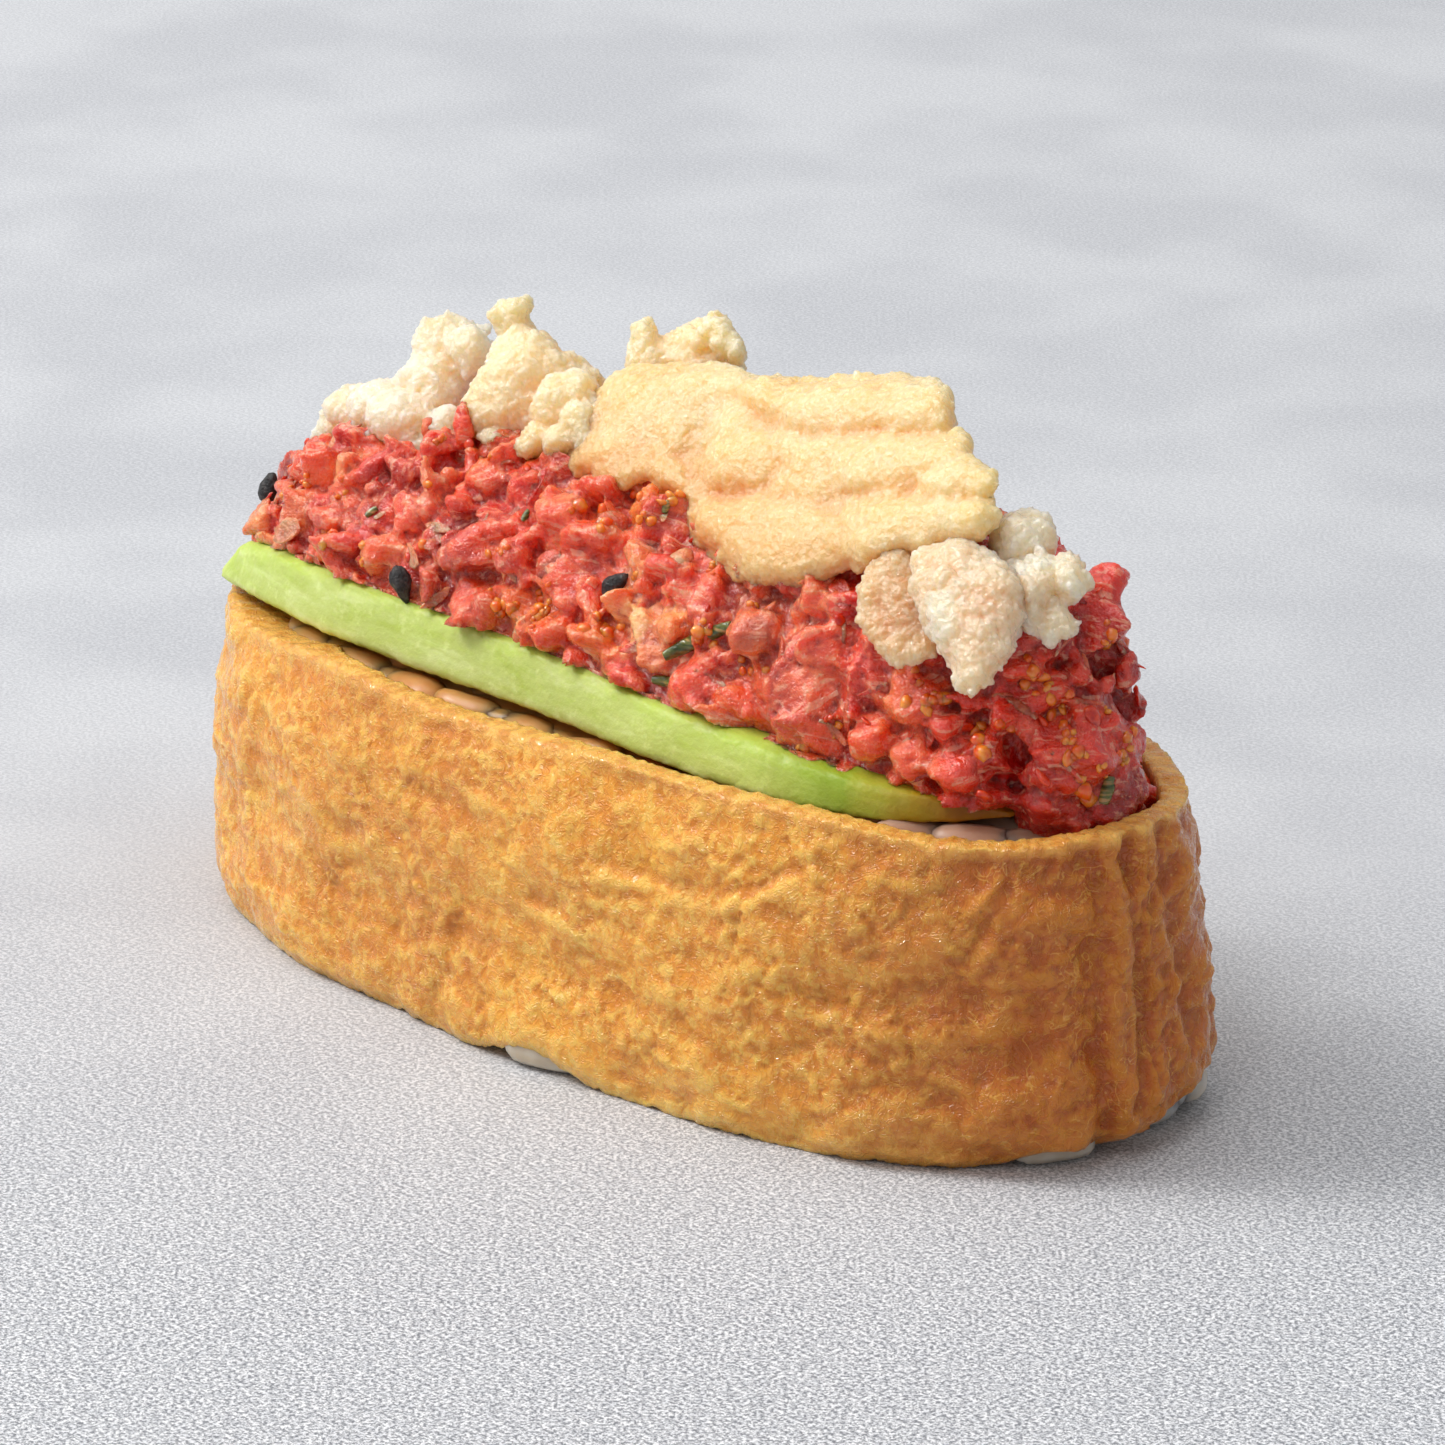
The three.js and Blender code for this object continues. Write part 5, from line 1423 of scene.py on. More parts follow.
def make_bits():
    rng = np.random.default_rng(41)
    roe, chilli = [], []
    v0, f0 = ICO[2]

    def bead(p, n, size, kind):
        r = size / 2
        if kind == "roe":
            radii = r * rng.uniform(0.7, 1.6, 3)
            v = v0 * (1 + 0.30 * noise(v0 * 1.7 + rng.uniform(0, 50), 3))[:, None] * radii
            roe.append((v @ spin(rng).T + p - n * r * 0.30, f0))
        else:
            radii = r * np.array([rng.uniform(1.0, 1.5), rng.uniform(0.7, 1.0), rng.uniform(0.35, 0.6)])
            v = v0 * (1 + 0.25 * noise(v0 * 1.9 + rng.uniform(0, 50), 4))[:, None] * radii
            chilli.append((v @ spin(rng).T + p + n * r * 0.10, f0))

    for x, y, z, size, kind in BITS:
        p, n = on_tuna((x, y, z))
        if kind == "roe":
            for k in range(int(rng.integers(2, 6))):
                q, n2 = on_tuna(p + rng.normal(0, 0.42, 3) * (k > 0))
                bead(q, n2, size * rng.uniform(0.60, 0.95), kind)
        else:
            bead(p, n, size, kind)
    # loose ones over the whole mound
    for _ in range(95):
        x = HX + rng.uniform(-0.95, 0.95) * HA
        y = HY + rng.uniform(-0.92, 0.92) * HB
        t = float(heap_top(np.float64(x), np.float64(y)))
        if t < 21.5:
            continue
        mid_at = np.array([x, y, t])
        away = np.array([0.0, (y - HY) * 0.9, 6.0])
        away /= np.linalg.norm(away)
        if noise(np.array([mid_at * 0.22]), 88)[0] < -0.05:
            continue
        for _ in range(int(rng.integers(1, 5))):
            p, n = on_tuna(mid_at + rng.normal(0, 0.55, 3), away)
            bead(p, n, rng.uniform(0.32, 0.60), "roe" if rng.uniform() < 0.75 else "chilli")
    a = mesh_of("roe_beads", *joined(roe))
    b = mesh_of("chilli_flakes", *joined(chilli))
    for o in (a, b):
        turn_out(o)
    return a, b


def bead_material():
    m = Mat("orange_roe")
    col = m.ramp(m.noise(0.9, 2), (0.35, rgb(240, 84, 10)), (0.65, rgb(254, 146, 48)))
    m.set(Base_Color=col, Roughness=m.ramp(m.noise(0.5, 2), (0.3, 0.14), (0.7, 0.3)), Subsurface_Weight=0.6,
          Subsurface_Radius=(1.0, 0.45, 0.12), Subsurface_Scale=0.001, Coat_Weight=0.6, Coat_Roughness=0.08)
    m.bump((m.noise(0.35, 2), 0.3, 0.04))
    return m.m


def flake_material():
    m = Mat("chilli_flake")
    col = m.ramp(m.noise(0.6, 3), (0.35, rgb(190, 26, 6)), (0.65, rgb(232, 70, 18)))
    m.set(Base_Color=col, Roughness=m.ramp(m.noise(0.4, 2), (0.3, 0.2), (0.7, 0.4)), Subsurface_Weight=0.3,
          Subsurface_Radius=(1.0, 0.25, 0.08), Subsurface_Scale=0.0008, Coat_Weight=0.6, Coat_Roughness=0.1)
    m.bump((m.noise(0.3, 2), 0.5, 0.06))
    return m.m


def sesame(p, n, along_dir, rng, length=2.9, width=1.5, sink=0.2):
    """A sesame seed: a flat teardrop with a blunt end, lying on the skin."""
    v, f = ICO[3]
    v = v.copy()
    taper = 1 - 0.38 * smooth(-0.2, 1.0, v[:, 0])
    v = v * np.array([length * 0.40, width * 0.46, 0.55]) * np.stack([np.ones(len(v)), taper, 0.7 + 0.3 * taper], 1)
    v *= (1 + 0.34 * fbm(v * 1.9 + rng.uniform(0, 50), 3, 9) + 0.12 * fbm(v * 5.0 + rng.uniform(0, 50), 2, 9))[:, None]
    a = along_dir - n * (along_dir @ n)
    a /= np.linalg.norm(a)
    b = np.cross(n, a)
    return v @ np.stack([a, b, n], 1).T + p + n * (0.40 - sink), f


def make_sesame():
    rng = np.random.default_rng(51)
    parts = []
    spots = (
        ((-33.6, -4.6, 25.4), RIGHT * 0.5 + UP * 0.9, 2.6, -0.1), ((-15.5, -9.9, 24.5), RIGHT * 0.35 - UP * 0.95, 2.9, 0.05),
        ((2.7, -8.6, 28.6), RIGHT * 0.9 + UP * 0.5, 2.5, 0.2), ((-2.0, 9.5, 27.0), RIGHT * 0.9 + UP * 0.4, 2.9, 0.1),
        ((16.0, 9.0, 29.0), RIGHT * 0.2 + UP * 0.9, 2.9, 0.1), ((-20.0, 8.5, 27.5), RIGHT * 0.8 - UP * 0.5, 2.9, 0.1),
        ((-27.0, 2.5, 30.0), RIGHT * 0.7 + UP * 0.1, 2.9, 0.1), ((27.0, 6.5, 26.5), RIGHT * 0.4 + UP * 0.8, 2.9, 0.1),
        ((8.0, 9.8, 24.5), RIGHT * 0.9 + UP * 0.2, 2.9, 0.1),
    )
    for at, d, length, sink in spots:
        towards = BACK if at[1] < 0 else np.array([0, 0.8, 0.6])
        p, n = on_tuna(at, towards)
        n = n * 0.6 + towards / np.linalg.norm(towards) * 0.4
        n /= np.linalg.norm(n)
        parts.append(sesame(p, n, np.array(d, float), rng, length=length, sink=sink))
    ob = mesh_of("sesame_black", *joined(parts))
    turn_out(ob)
    return ob


def sesame_material():
    m = Mat("sesame_black")
    col = m.ramp(m.noise(0.5, 3), (0.4, rgb(18, 18, 20)), (0.75, rgb(80, 76, 74)))
    m.set(Base_Color=col, Roughness=m.ramp(m.noise(0.4, 2), (0.3, 0.42), (0.7, 0.65)), Coat_Weight=0.06, Coat_Roughness=0.15)
    m.bump((m.noise(0.34, 3, 0.65), 1.0, 0.22))
    return m.m


def strip(points, width, thick, rng, sections=26, around=10, curl=0.3):
    """A thin curved strip of spring onion lying along points."""
    P = np.array(points, float)
    t = np.linspace(0, len(P) - 1, sections)
    i = np.clip(t.astype(int), 0, len(P) - 2)
    u = (t - i)[:, None]
    p0, p1, p2, p3 = (P[np.clip(i + k, 0, len(P) - 1)] for k in (-1, 0, 1, 2))
    C = 0.5 * (2 * p1 + (p2 - p0) * u + (2 * p0 - 5 * p1 + 4 * p2 - p3) * u**2 + (3 * p1 - p0 - 3 * p2 + p3) * u**3)
    rings = []
    for k in range(sections):
        d = C[min(k + 1, sections - 1)] - C[max(k - 1, 0)]
        d /= np.linalg.norm(d)
        _, n = on_tuna(C[k])
        n = n - d * (n @ d)
        n /= np.linalg.norm(n)
        s = np.cross(d, n)
        w = width * (0.55 + 0.45 * math.sin(math.pi * min(1, max(0, (k + 0.8) / sections)))) / 2
        a = np.arange(around) / around * 2 * np.pi
        y, z = np.cos(a) * w, np.sin(a) * thick / 2 - curl * (np.cos(a) ** 2) * w
        rings.append(C[k] + y[:, None] * s + z[:, None] * n + n * thick * 0.55)
    R = np.stack(rings)
    n = around
    tri = []
    j = np.arange(n)
    for i in range(sections - 1):
        a, b, c, d = i * n + j, i * n + (j + 1) % n, (i + 1) * n + (j + 1) % n, (i + 1) * n + j
        tri += [np.stack([a, b, c], 1), np.stack([a, c, d], 1)]
    verts = np.concatenate([R.reshape(-1, 3), R[0].mean(0)[None], R[-1].mean(0)[None]])
    tri += [np.stack([np.full(n, sections * n), (j + 1) % n, j], 1), np.stack([np.full(n, sections * n + 1), (sections - 1) * n + j, (sections - 1) * n + (j + 1) % n], 1)]
    return verts, np.concatenate(tri)


def make_onion():
    rng = np.random.default_rng(61)
    parts = []
    for mid, d, length, width in (
        ((10.3, -9.2, 27.0), RIGHT * 0.90 + UP * 0.42, 4.4, 0.95),
        ((35.4, -0.3, 21.9), RIGHT * 0.25 + UP * 0.95, 1.7, 0.9),
        ((8.5, -10.2, 24.2), RIGHT * 0.95 - UP * 0.2, 1.4, 0.7),
        ((-20.2, -8.0, 27.6), RIGHT * 0.8 + UP * 0.6, 0.9, 0.5),
        ((-7.1, -7.0, 30.2), RIGHT * 0.5 + UP * 0.8, 0.8, 0.45),
        ((3.2, -4.9, 32.7), RIGHT * 0.3 + UP * 0.9, 0.8, 0.5),
        ((-9.0, 9.0, 27.5), np.array([0.8, 0.1, 0.5]), 3.8, 0.95),
        ((20.0, 9.0, 27.0), np.array([0.9, 0.1, -0.4]), 3.0, 0.9),
        ((-24.0, 7.5, 26.5), np.array([0.5, 0.1, 0.7]), 2.2, 0.8),
    ):
        d = np.array(d, float)
        d /= np.linalg.norm(d)
        towards = BACK if mid[1] < 0 else np.array([0, 0.8, 0.6])
        pts = []
        for k in (-0.5, -0.17, 0.17, 0.5):
            p, n = on_tuna(np.array(mid) + d * length * k + np.array([0, 0, 0.25 * (0.25 - k * k)]), towards)
            pts.append(p)
        pts = np.array(pts)
        pts = pts * 0.6 + pts.mean(0) * 0.0 + 0.4 * (pts.mean(0) + np.outer((-0.5, -0.17, 0.17, 0.5), d * length))
        parts.append(strip(pts, width, 0.22, rng))
    ob = mesh_of("spring_onion", *joined(parts))
    turn_out(ob)
    return ob


def onion_material():
    m = Mat("spring_onion")
    lines = m.noise(1, 2, 0.5, vector=m.scaled(1.6, 1.6, 0.22))
    col = m.ramp(lines, (0.35, rgb(52, 70, 20)), (0.52, rgb(104, 108, 44)), (0.68, rgb(184, 146, 92)))
    m.set(Base_Color=col, Roughness=m.ramp(m.noise(0.7, 2), (0.3, 0.2), (0.7, 0.42)), Subsurface_Weight=0.3,
          Subsurface_Radius=(0.5, 1.0, 0.2), Subsurface_Scale=0.0006, Coat_Weight=0.5, Coat_Roughness=0.12)
    m.bump((lines, 0.5, 0.06))
    return m.m


roe, chilli = make_bits()
roe.data.materials.append(bead_material())
chilli.data.materials.append(flake_material())
seeds = make_sesame()
seeds.data.materials.append(sesame_material())
onion = make_onion()
onion.data.materials.append(onion_material())
for o in (roe, chilli, seeds, onion):
    placed(o, "tuna")


# ---- crisps ---------------------------------------------------------------------------------------------------------
# each crisp's puffs, seen from the -Y +X corner: x, y, z of the middle, half width, half height, half depth, turn
CRISPS = {
    "crisp_left": (
        (-24.5, 1.5, 32.5, 2.07, 2.89, 2.6, 0), (-26.3, 3.2, 35.4, 1.32, 1.19, 1.5, 0), (-22.5, 2.6, 35.3, 1.38, 1.88, 2.0, 0),
        (-29.4, 0.6, 29.8, 1.95, 1.57, 2.3, 0), (-33.3, 0.8, 28.9, 1.07, 1.00, 1.3, 0), (-33.7, 0.0, 27.5, 0.88, 0.63, 1.0, 0),
        (-35.8, 0.0, 26.2, 0.56, 0.50, 0.8, 0), (-25.5, -0.8, 29.8, 2.39, 1.26, 1.9, 0), (-21.8, -2.6, 29.9, 0.63, 1.07, 0.8, -12),
        (-28.1, 2.0, 32.5, 0.50, 0.69, 0.8, 0), (-21.4, -0.5, 31.4, 1.51, 1.38, 1.8, 0), (-30.0, 2.0, 30.7, 1.51, 0.63, 1.6, 8),
        (-26.3, -1.4, 29.4, 1.51, 0.82, 1.4, 0), (-23.1, -1.9, 30.2, 1.26, 0.88, 1.4, 0), (-21.2, -1.2, 31.0, 1.38, 0.88, 1.5, 0),
        (-30.5, 0.0, 28.9, 1.13, 0.82, 1.3, 0), (-33.1, 0.2, 28.4, 0.94, 0.75, 1.1, 0), (-23.7, 3.0, 35.2, 1.51, 1.26, 1.8, 0),
        (-26.7, 2.8, 34.8, 1.00, 1.38, 1.5, 0), (-25.9, 1.8, 33.4, 1.38, 1.51, 2.0, 0),
    ),
    "crisp_peak": (
        (-14.8, 0.6, 34.0, 3.89, 2.89, 3.2, 0), (-16.7, 1.8, 36.6, 2.20, 2.13, 2.4, 0), (-18.1, 2.4, 38.3, 0.94, 1.26, 1.1, 0),
        (-17.9, 2.6, 39.3, 0.94, 0.69, 1.0, 0), (-19.8, 2.6, 38.4, 0.56, 0.50, 0.8, 0), (-10.4, 0.8, 35.6, 1.51, 2.13, 2.4, 12),
        (-18.4, 0.2, 33.4, 1.26, 2.01, 2.0, 0), (-10.9, -1.8, 33.2, 1.88, 1.13, 1.8, -8), (-15.8, -1.0, 32.8, 1.76, 1.00, 1.8, 0),
        (-7.4, -1.2, 33.7, 1.63, 1.76, 2.0, 0), (-14.8, -2.0, 32.5, 1.76, 0.75, 1.4, 8), (-11.2, -2.6, 32.8, 1.63, 0.82, 1.4, 6),
        (-8.9, -2.2, 33.5, 1.63, 1.13, 1.7, 10), (-8.5, -1.2, 34.7, 1.51, 1.63, 2.0, 0), (-17.5, -1.2, 32.4, 1.13, 1.00, 1.5, 0),
        (-14.2, 1.6, 36.0, 1.76, 1.63, 2.4, 0), (-9.1, 0.4, 34.7, 1.26, 1.63, 2.2, 0), (-12.0, 0.6, 34.9, 1.88, 1.88, 2.8, 0),
    ),
    "crisp_back": (
        (-11.0, 6.6, 37.4, 0.69, 1.57, 1.3, 0), (-6.3, 6.3, 37.8, 3.26, 1.57, 2.2, 0), (-4.1, 6.4, 40.0, 1.44, 0.94, 1.4, -10),
        (-9.5, 6.4, 37.3, 0.88, 1.00, 1.6, 0), (-2.2, 6.2, 39.1, 0.69, 1.13, 1.5, 0), (-8.0, 6.4, 37.7, 1.63, 1.26, 2.0, 0),
        (-5.5, 6.4, 38.7, 1.63, 1.38, 2.0, 0), (-9.4, 6.0, 36.8, 1.13, 1.26, 1.8, 0), (-3.3, 6.3, 39.5, 1.13, 1.26, 1.6, 0),
        (-10.1, 6.5, 38.5, 0.50, 0.75, 1.0, 0),
    ),
    "crisp_main": (), "crisp_flake": (), "crisp_nugget": (), "crisp_small": (),
}
# the body under the puffs: x, y, z, rx, ry, rz, as the CAD's lobes
BODIES = {
    "crisp_left": (
        (-25.2, 2.6, 33.0, 2.2, 2.4, 2.6), (-24.6, -1.4, 31.4, 2.4, 2.4, 1.7), (-28.3, 0.6, 30.9, 2.4, 2.4, 1.6), (-31.6, 0.6, 29.9, 1.7, 1.9, 1.3),
    ),
    "crisp_peak": ((-15.2, 1.0, 33.6, 3.3, 3.0, 2.5), (-16.5, 1.5, 36.0, 2.2, 2.4, 2.1), (-11.2, 0.0, 34.6, 1.9, 1.9, 2.2)),
    "crisp_back": ((-9.7, 6.7, 35.6, 1.1, 1.4, 2.7), (-5.6, 6.5, 37.6, 2.4, 2.2, 1.6), (-5.4, 5.9, 35.2, 3.0, 2.2, 1.9)),
    "crisp_main": (
        (-5.6, -0.8, 34.4, 2.8, 3.1, 2.5), (-0.6, 1.0, 36.3, 3.3, 3.4, 2.3), (2.2, -3.0, 34.4, 2.4, 2.2, 1.6), (6.2, 0.9, 37.1, 3.5, 3.8, 2.7),
        (9.2, -3.6, 35.6, 3.0, 2.9, 2.8), (11.4, -5.2, 33.0, 4.4, 2.8, 2.2), (13.4, 2.5, 39.1, 3.9, 3.5, 1.7), (15.0, -1.0, 36.9, 3.6, 3.8, 3.0),
        (21.3, -2.2, 36.0, 3.4, 3.2, 2.9), (18.2, -4.7, 34.2, 2.6, 2.2, 1.9),
    ),
    "crisp_flake": (),
    "crisp_nugget": ((28.7, -6.0, 33.8, 2.3, 2.0, 2.1), (30.9, -7.2, 31.7, 1.7, 1.6, 1.9)),
    "crisp_small": ((28.8, -1.0, 35.9, 1.4, 1.3, 1.5), (30.7, -2.8, 33.9, 1.5, 1.3, 1.6)),
}
# cushions with a drawn outline: middle, half depth, width of the rounded edge, outline to the right and up
PADS = {
    "crisp_left": (
        ((-25.1, 3.0, 34.6), 1.7, 1.6, ((-2.2, 0.5), (-2.0, 1.6), (-1.7, 2.3), (-0.8, 2.1), (-0.0, 2.5), (0.8, 2.1), (1.7, 1.6), (2.5, 1.8),
            (2.3, 1.1), (3.0, 0.4), (2.7, -0.4), (1.9, -1.2), (1.3, -2.0), (1.1, -2.9), (-0.5, -2.9), (-2.0, -2.6), (-2.9, -2.0), (-3.0, -1.2),
            (-2.2, -0.6),)),
        ((-27.2, 1.0, 29.8), 1.7, 1.5, ((-3.2, 2.3), (-2.4, 1.9), (-1.1, 2.1), (-0.2, 1.8), (0.1, 2.5), (1.7, 2.5), (3.7, 2.1), (3.8, 1.2),
            (3.6, 0.4), (3.1, -0.5), (2.3, -1.1), (1.4, -1.3), (1.6, -2.3), (1.1, -2.8), (0.5, -2.5), (0.1, -1.6), (-0.5, -1.5), (-1.1, -1.8),
            (-2.1, -1.6), (-2.3, -1.0), (-2.8, -0.6), (-3.5, 0.2), (-3.6, 1.6),)),
        ((-33.5, 0.6, 28.7), 1.0, 1.0, ((-0.9, 1.0), (0.1, 1.5), (1.0, 1.8), (1.6, 1.0), (1.5, -0.5), (0.7, -0.6), (0.1, -1.0), (-0.6, -1.3),
            (-1.3, -1.2), (-1.4, -0.7), (-0.9, -0.1),)),
        ((-35.5, -0.2, 26.3), 0.7, 0.7, ((-0.6, 0.3), (-0.1, 0.6), (0.4, 0.4), (0.6, -0.2), (0.2, -0.6), (-0.4, -0.5),)),
    ),
    "crisp_peak": (
        ((-15.0, 0.8, 34.1), 2.6, 2.2, ((-3.8, 0.4), (-3.3, 1.6), (-2.4, 2.8), (-1.8, 3.5), (-0.0, 4.3), (0.9, 4.1), (1.7, 3.1), (2.8, 2.9),
            (3.7, 2.2), (4.4, 1.3), (4.4, -0.1), (3.7, -1.2), (2.9, -2.4), (1.8, -3.4), (0.9, -3.3), (-0.0, -3.6), (-0.8, -3.2), (-1.2, -2.6),
            (-2.2, -2.3), (-3.5, -2.1), (-4.2, -1.5), (-4.2, -0.6),)),
        ((-18.3, 2.4, 38.4), 1.2, 1.1, ((-1.4, 0.1), (-1.0, 0.7), (-0.5, 1.2), (0.1, 1.2), (0.8, 1.5), (1.2, 1.1), (1.2, 0.1), (1.4, -0.8),
            (0.5, -1.8), (-0.7, -1.9), (-0.7, -1.1), (-1.0, -0.4),)),
    ),
    "crisp_back": (
        ((-7.0, 6.4, 38.5), 1.8, 1.4, ((-3.4, -2.2), (-3.4, -1.1), (-3.2, 0.2), (-3.1, 1.0), (-2.7, 1.4), (-2.1, 1.5), (-1.7, 1.0), (-1.5, 0.3),
            (-0.9, 0.3), (-0.2, 0.8), (0.8, 1.3), (1.5, 1.7), (2.0, 2.0), (2.5, 1.5), (2.8, 0.8), (3.3, 0.2), (3.7, -0.6), (3.9, -1.6),
            (3.8, -2.6), (0.5, -3.1), (-2.7, -2.9),)),
    ),
    "crisp_main": (
        ((-3.9, 0.8, 34.6), 3.0, 2.4, ((-4.9, -0.5), (-3.9, 1.0), (-3.3, 2.5), (-2.9, 3.3), (-1.9, 3.9), (-0.5, 4.1), (2.3, 4.1), (5.2, 3.9),
            (6.2, 3.2), (6.0, 1.9), (5.4, 1.1), (4.1, 0.2), (3.1, -0.6), (2.5, -1.6), (2.2, -3.0), (1.5, -3.7), (0.3, -3.5), (-0.8, -2.9),
            (-2.2, -3.4), (-3.2, -3.0), (-4.2, -2.7), (-5.2, -2.6), (-5.7, -1.9),)),
        ((7.4, -2.6, 36.2), 1.9, 1.6, ((-2.4, 0.3), (-1.9, 1.2), (-1.0, 1.7), (0.2, 2.0), (1.4, 1.7), (2.2, 1.1), (2.4, -0.0), (2.2, -1.2),
            (1.3, -1.8), (-0.4, -2.0), (-1.7, -1.8), (-2.3, -1.2),)),
        ((11.7, 2.0, 39.4), 3.0, 1.8, ((-7.1, 1.9), (-6.4, 2.1), (-4.2, 1.9), (-2.0, 1.7), (0.2, 1.9), (3.0, 1.9), (5.2, 1.5), (5.9, 0.9),
            (6.3, -0.1), (6.3, -1.3), (5.7, -1.9), (3.6, -2.2), (1.4, -2.0), (-0.5, -2.3), (-2.2, -1.9), (-3.7, -1.5), (-5.1, -0.8), (-6.2, 0.2),)),
        ((18.9, -0.6, 38.4), 3.0, 2.0, ((-4.3, 1.5), (-2.1, 1.8), (0.1, 1.5), (2.0, 1.5), (3.3, 1.8), (3.9, 1.2), (4.1, 0.3), (3.5, -0.4),
            (2.3, -1.2), (1.1, -1.9), (-0.9, -2.4), (-3.0, -2.4), (-4.7, -1.6), (-5.3, 0.3),)),
        ((23.6, -0.8, 38.2), 1.8, 1.2, ((-2.7, -0.0), (-1.9, 0.8), (-0.9, 1.3), (0.1, 1.5), (1.2, 1.2), (2.0, 0.6), (2.3, -0.1), (2.0, -0.7),
            (1.3, -1.2), (0.0, -1.2), (-1.2, -1.1), (-2.2, -0.8),)),
        ((21.8, -2.6, 35.0), 2.6, 1.6, ((-4.5, 1.3), (-3.3, 2.3), (-0.9, 2.3), (1.6, 2.4), (4.2, 2.1), (4.7, 1.3), (4.5, 0.2), (4.0, -0.6),
            (2.9, -0.8), (1.5, -1.0), (0.2, -1.7), (-0.7, -1.2), (-2.2, -1.8), (-3.0, -2.4), (-4.0, -1.7), (-4.8, -0.7),)),
        ((11.7, -4.6, 32.6), 2.3, 1.7, ((-4.8, 1.8), (-3.8, 2.4), (-2.1, 2.5), (-0.6, 2.8), (1.3, 2.6), (3.2, 2.0), (4.8, 1.0), (5.4, -0.2),
            (5.1, -1.3), (4.2, -2.0), (2.7, -2.5), (1.0, -2.7), (-0.6, -2.7), (-1.8, -2.4), (-2.5, -1.6), (-3.0, -0.7), (-4.0, 0.0), (-4.6, 0.9),)),
        ((11.8, -1.6, 36.2), 2.8, 2.0, ((-2.4, 2.6), (-0.4, 2.7), (2.1, 2.0), (2.8, 0.1), (2.8, -2.1), (0.9, -2.5), (-1.3, -2.1), (-2.6, -1.2),
            (-1.9, 0.4),)),
        ((-0.9, -2.2, 32.8), 1.2, 0.9, ((-3.5, 1.6), (-0.7, 1.9), (1.8, 1.3), (2.5, -0.3), (3.1, -1.2), (2.5, -2.0), (1.8, -0.6), (0.7, -0.4),
            (-0.4, 0.2), (-1.6, -0.5), (-2.7, -0.3), (-3.4, 0.2),)),
    ),
    "crisp_flake": (
        ((24.6, -7.0, 32.1), 0.75, 0.6, ((-1.8, 1.8), (-1.5, 2.5), (-0.9, 2.8), (-0.6, 3.5), (-0.1, 3.8), (0.4, 3.8), (0.8, 3.4), (1.2, 2.8),
            (1.4, 2.0), (1.5, 0.9), (1.7, 0.2), (2.0, -0.6), (2.2, -1.4), (2.4, -2.1), (2.3, -2.8), (1.7, -3.1), (0.8, -3.4), (0.0, -3.6),
            (-0.4, -3.3), (-0.7, -2.7), (-1.1, -2.4), (-1.4, -1.9), (-1.8, -1.4), (-2.1, -0.8), (-2.0, -0.1), (-2.1, 0.7), (-2.0, 1.3),)),
    ),
    "crisp_nugget": (
        ((29.9, -6.2, 33.0), 2.2, 1.5, ((-3.4, 3.1), (-2.9, 3.5), (-2.3, 3.8), (-1.6, 4.2), (-0.8, 4.3), (-0.2, 4.2), (0.3, 3.9), (0.9, 3.6),
            (1.4, 3.3), (1.9, 2.9), (2.4, 2.4), (2.8, 1.8), (3.0, 1.2), (3.1, 0.5), (3.0, -0.3), (2.6, -0.9), (2.4, -1.8), (2.2, -2.5),
            (1.8, -3.1), (1.4, -3.5), (1.1, -4.1), (0.6, -4.5), (0.0, -4.7), (-0.6, -4.5), (-0.9, -4.1), (-1.1, -3.5), (-1.3, -2.9), (-1.7, -2.3),
            (-2.1, -1.6), (-2.5, -0.9), (-2.9, -0.0), (-3.2, 0.8), (-3.4, 1.9),)),
    ),
    "crisp_small": (
        ((29.1, -0.9, 36.0), 1.6, 1.2, ((-1.8, -0.4), (-1.7, 0.4), (-1.4, 1.0), (-0.8, 1.5), (-0.0, 1.6), (0.8, 1.5), (1.4, 1.0), (1.7, 0.3),
            (1.9, -0.4), (1.6, -0.9), (0.9, -1.1), (-0.0, -1.4), (-1.0, -1.6), (-1.6, -1.4),)),
        ((31.7, -2.9, 34.2), 1.5, 1.1, ((-1.5, 0.7), (-0.8, 1.1), (-0.2, 1.6), (0.5, 2.0), (1.0, 1.8), (1.3, 1.0), (1.2, 0.1), (0.8, -0.9),
            (0.6, -1.6), (0.1, -2.1), (-0.6, -2.0), (-1.0, -1.2), (-1.3, -0.4),)),
        ((33.2, -1.4, 34.6), 1.3, 1.0, ((-1.1, 0.8), (-0.6, 1.6), (-0.1, 1.5), (0.6, 1.0), (0.9, 0.5), (1.0, -0.2), (0.8, -1.0), (0.4, -1.4),
            (-0.2, -1.4), (-0.7, -1.0), (-1.0, -0.4),)),
        ((33.6, -3.2, 32.5), 0.9, 0.8, ((-1.8, 0.3), (-0.8, 0.5), (-0.3, 1.3), (0.3, 1.5), (0.7, 0.8), (1.0, 0.2), (1.6, -0.2), (1.1, -0.7),
            (0.4, -1.0), (-0.2, -1.4), (-0.6, -0.9), (-1.3, -0.5),)),
        ((31.7, -4.6, 30.6), 0.8, 0.7, ((-0.2, 0.7), (0.3, 1.2), (1.0, 1.2), (1.1, 0.4), (1.0, -0.3), (0.3, -0.6), (-0.4, -1.0), (-1.0, -1.0),
            (-1.3, -0.7), (-0.6, -0.3), (-0.2, 0.2),)),
    ),
}
# how each leans back, per mm to the right and up
PROUD = (0.35, 0.65, 0.40, 0.55, 0.50, 0.55, 0.70, 0.45, 0.0)
LEANS = {"crisp_main": (0.80, -0.60), "crisp_nugget": (0.25, -0.45), "crisp_flake": (0.25, -0.35), "crisp_small": (0.15, -0.35)}
# how knobbly each is, and how far its knobs stand out
KNOBS = {"crisp_left": 1.5, "crisp_peak": 1.1, "crisp_back": 1.3, "crisp_main": 0.5, "crisp_flake": 0.4, "crisp_nugget": 0.7, "crisp_small": 1.0}


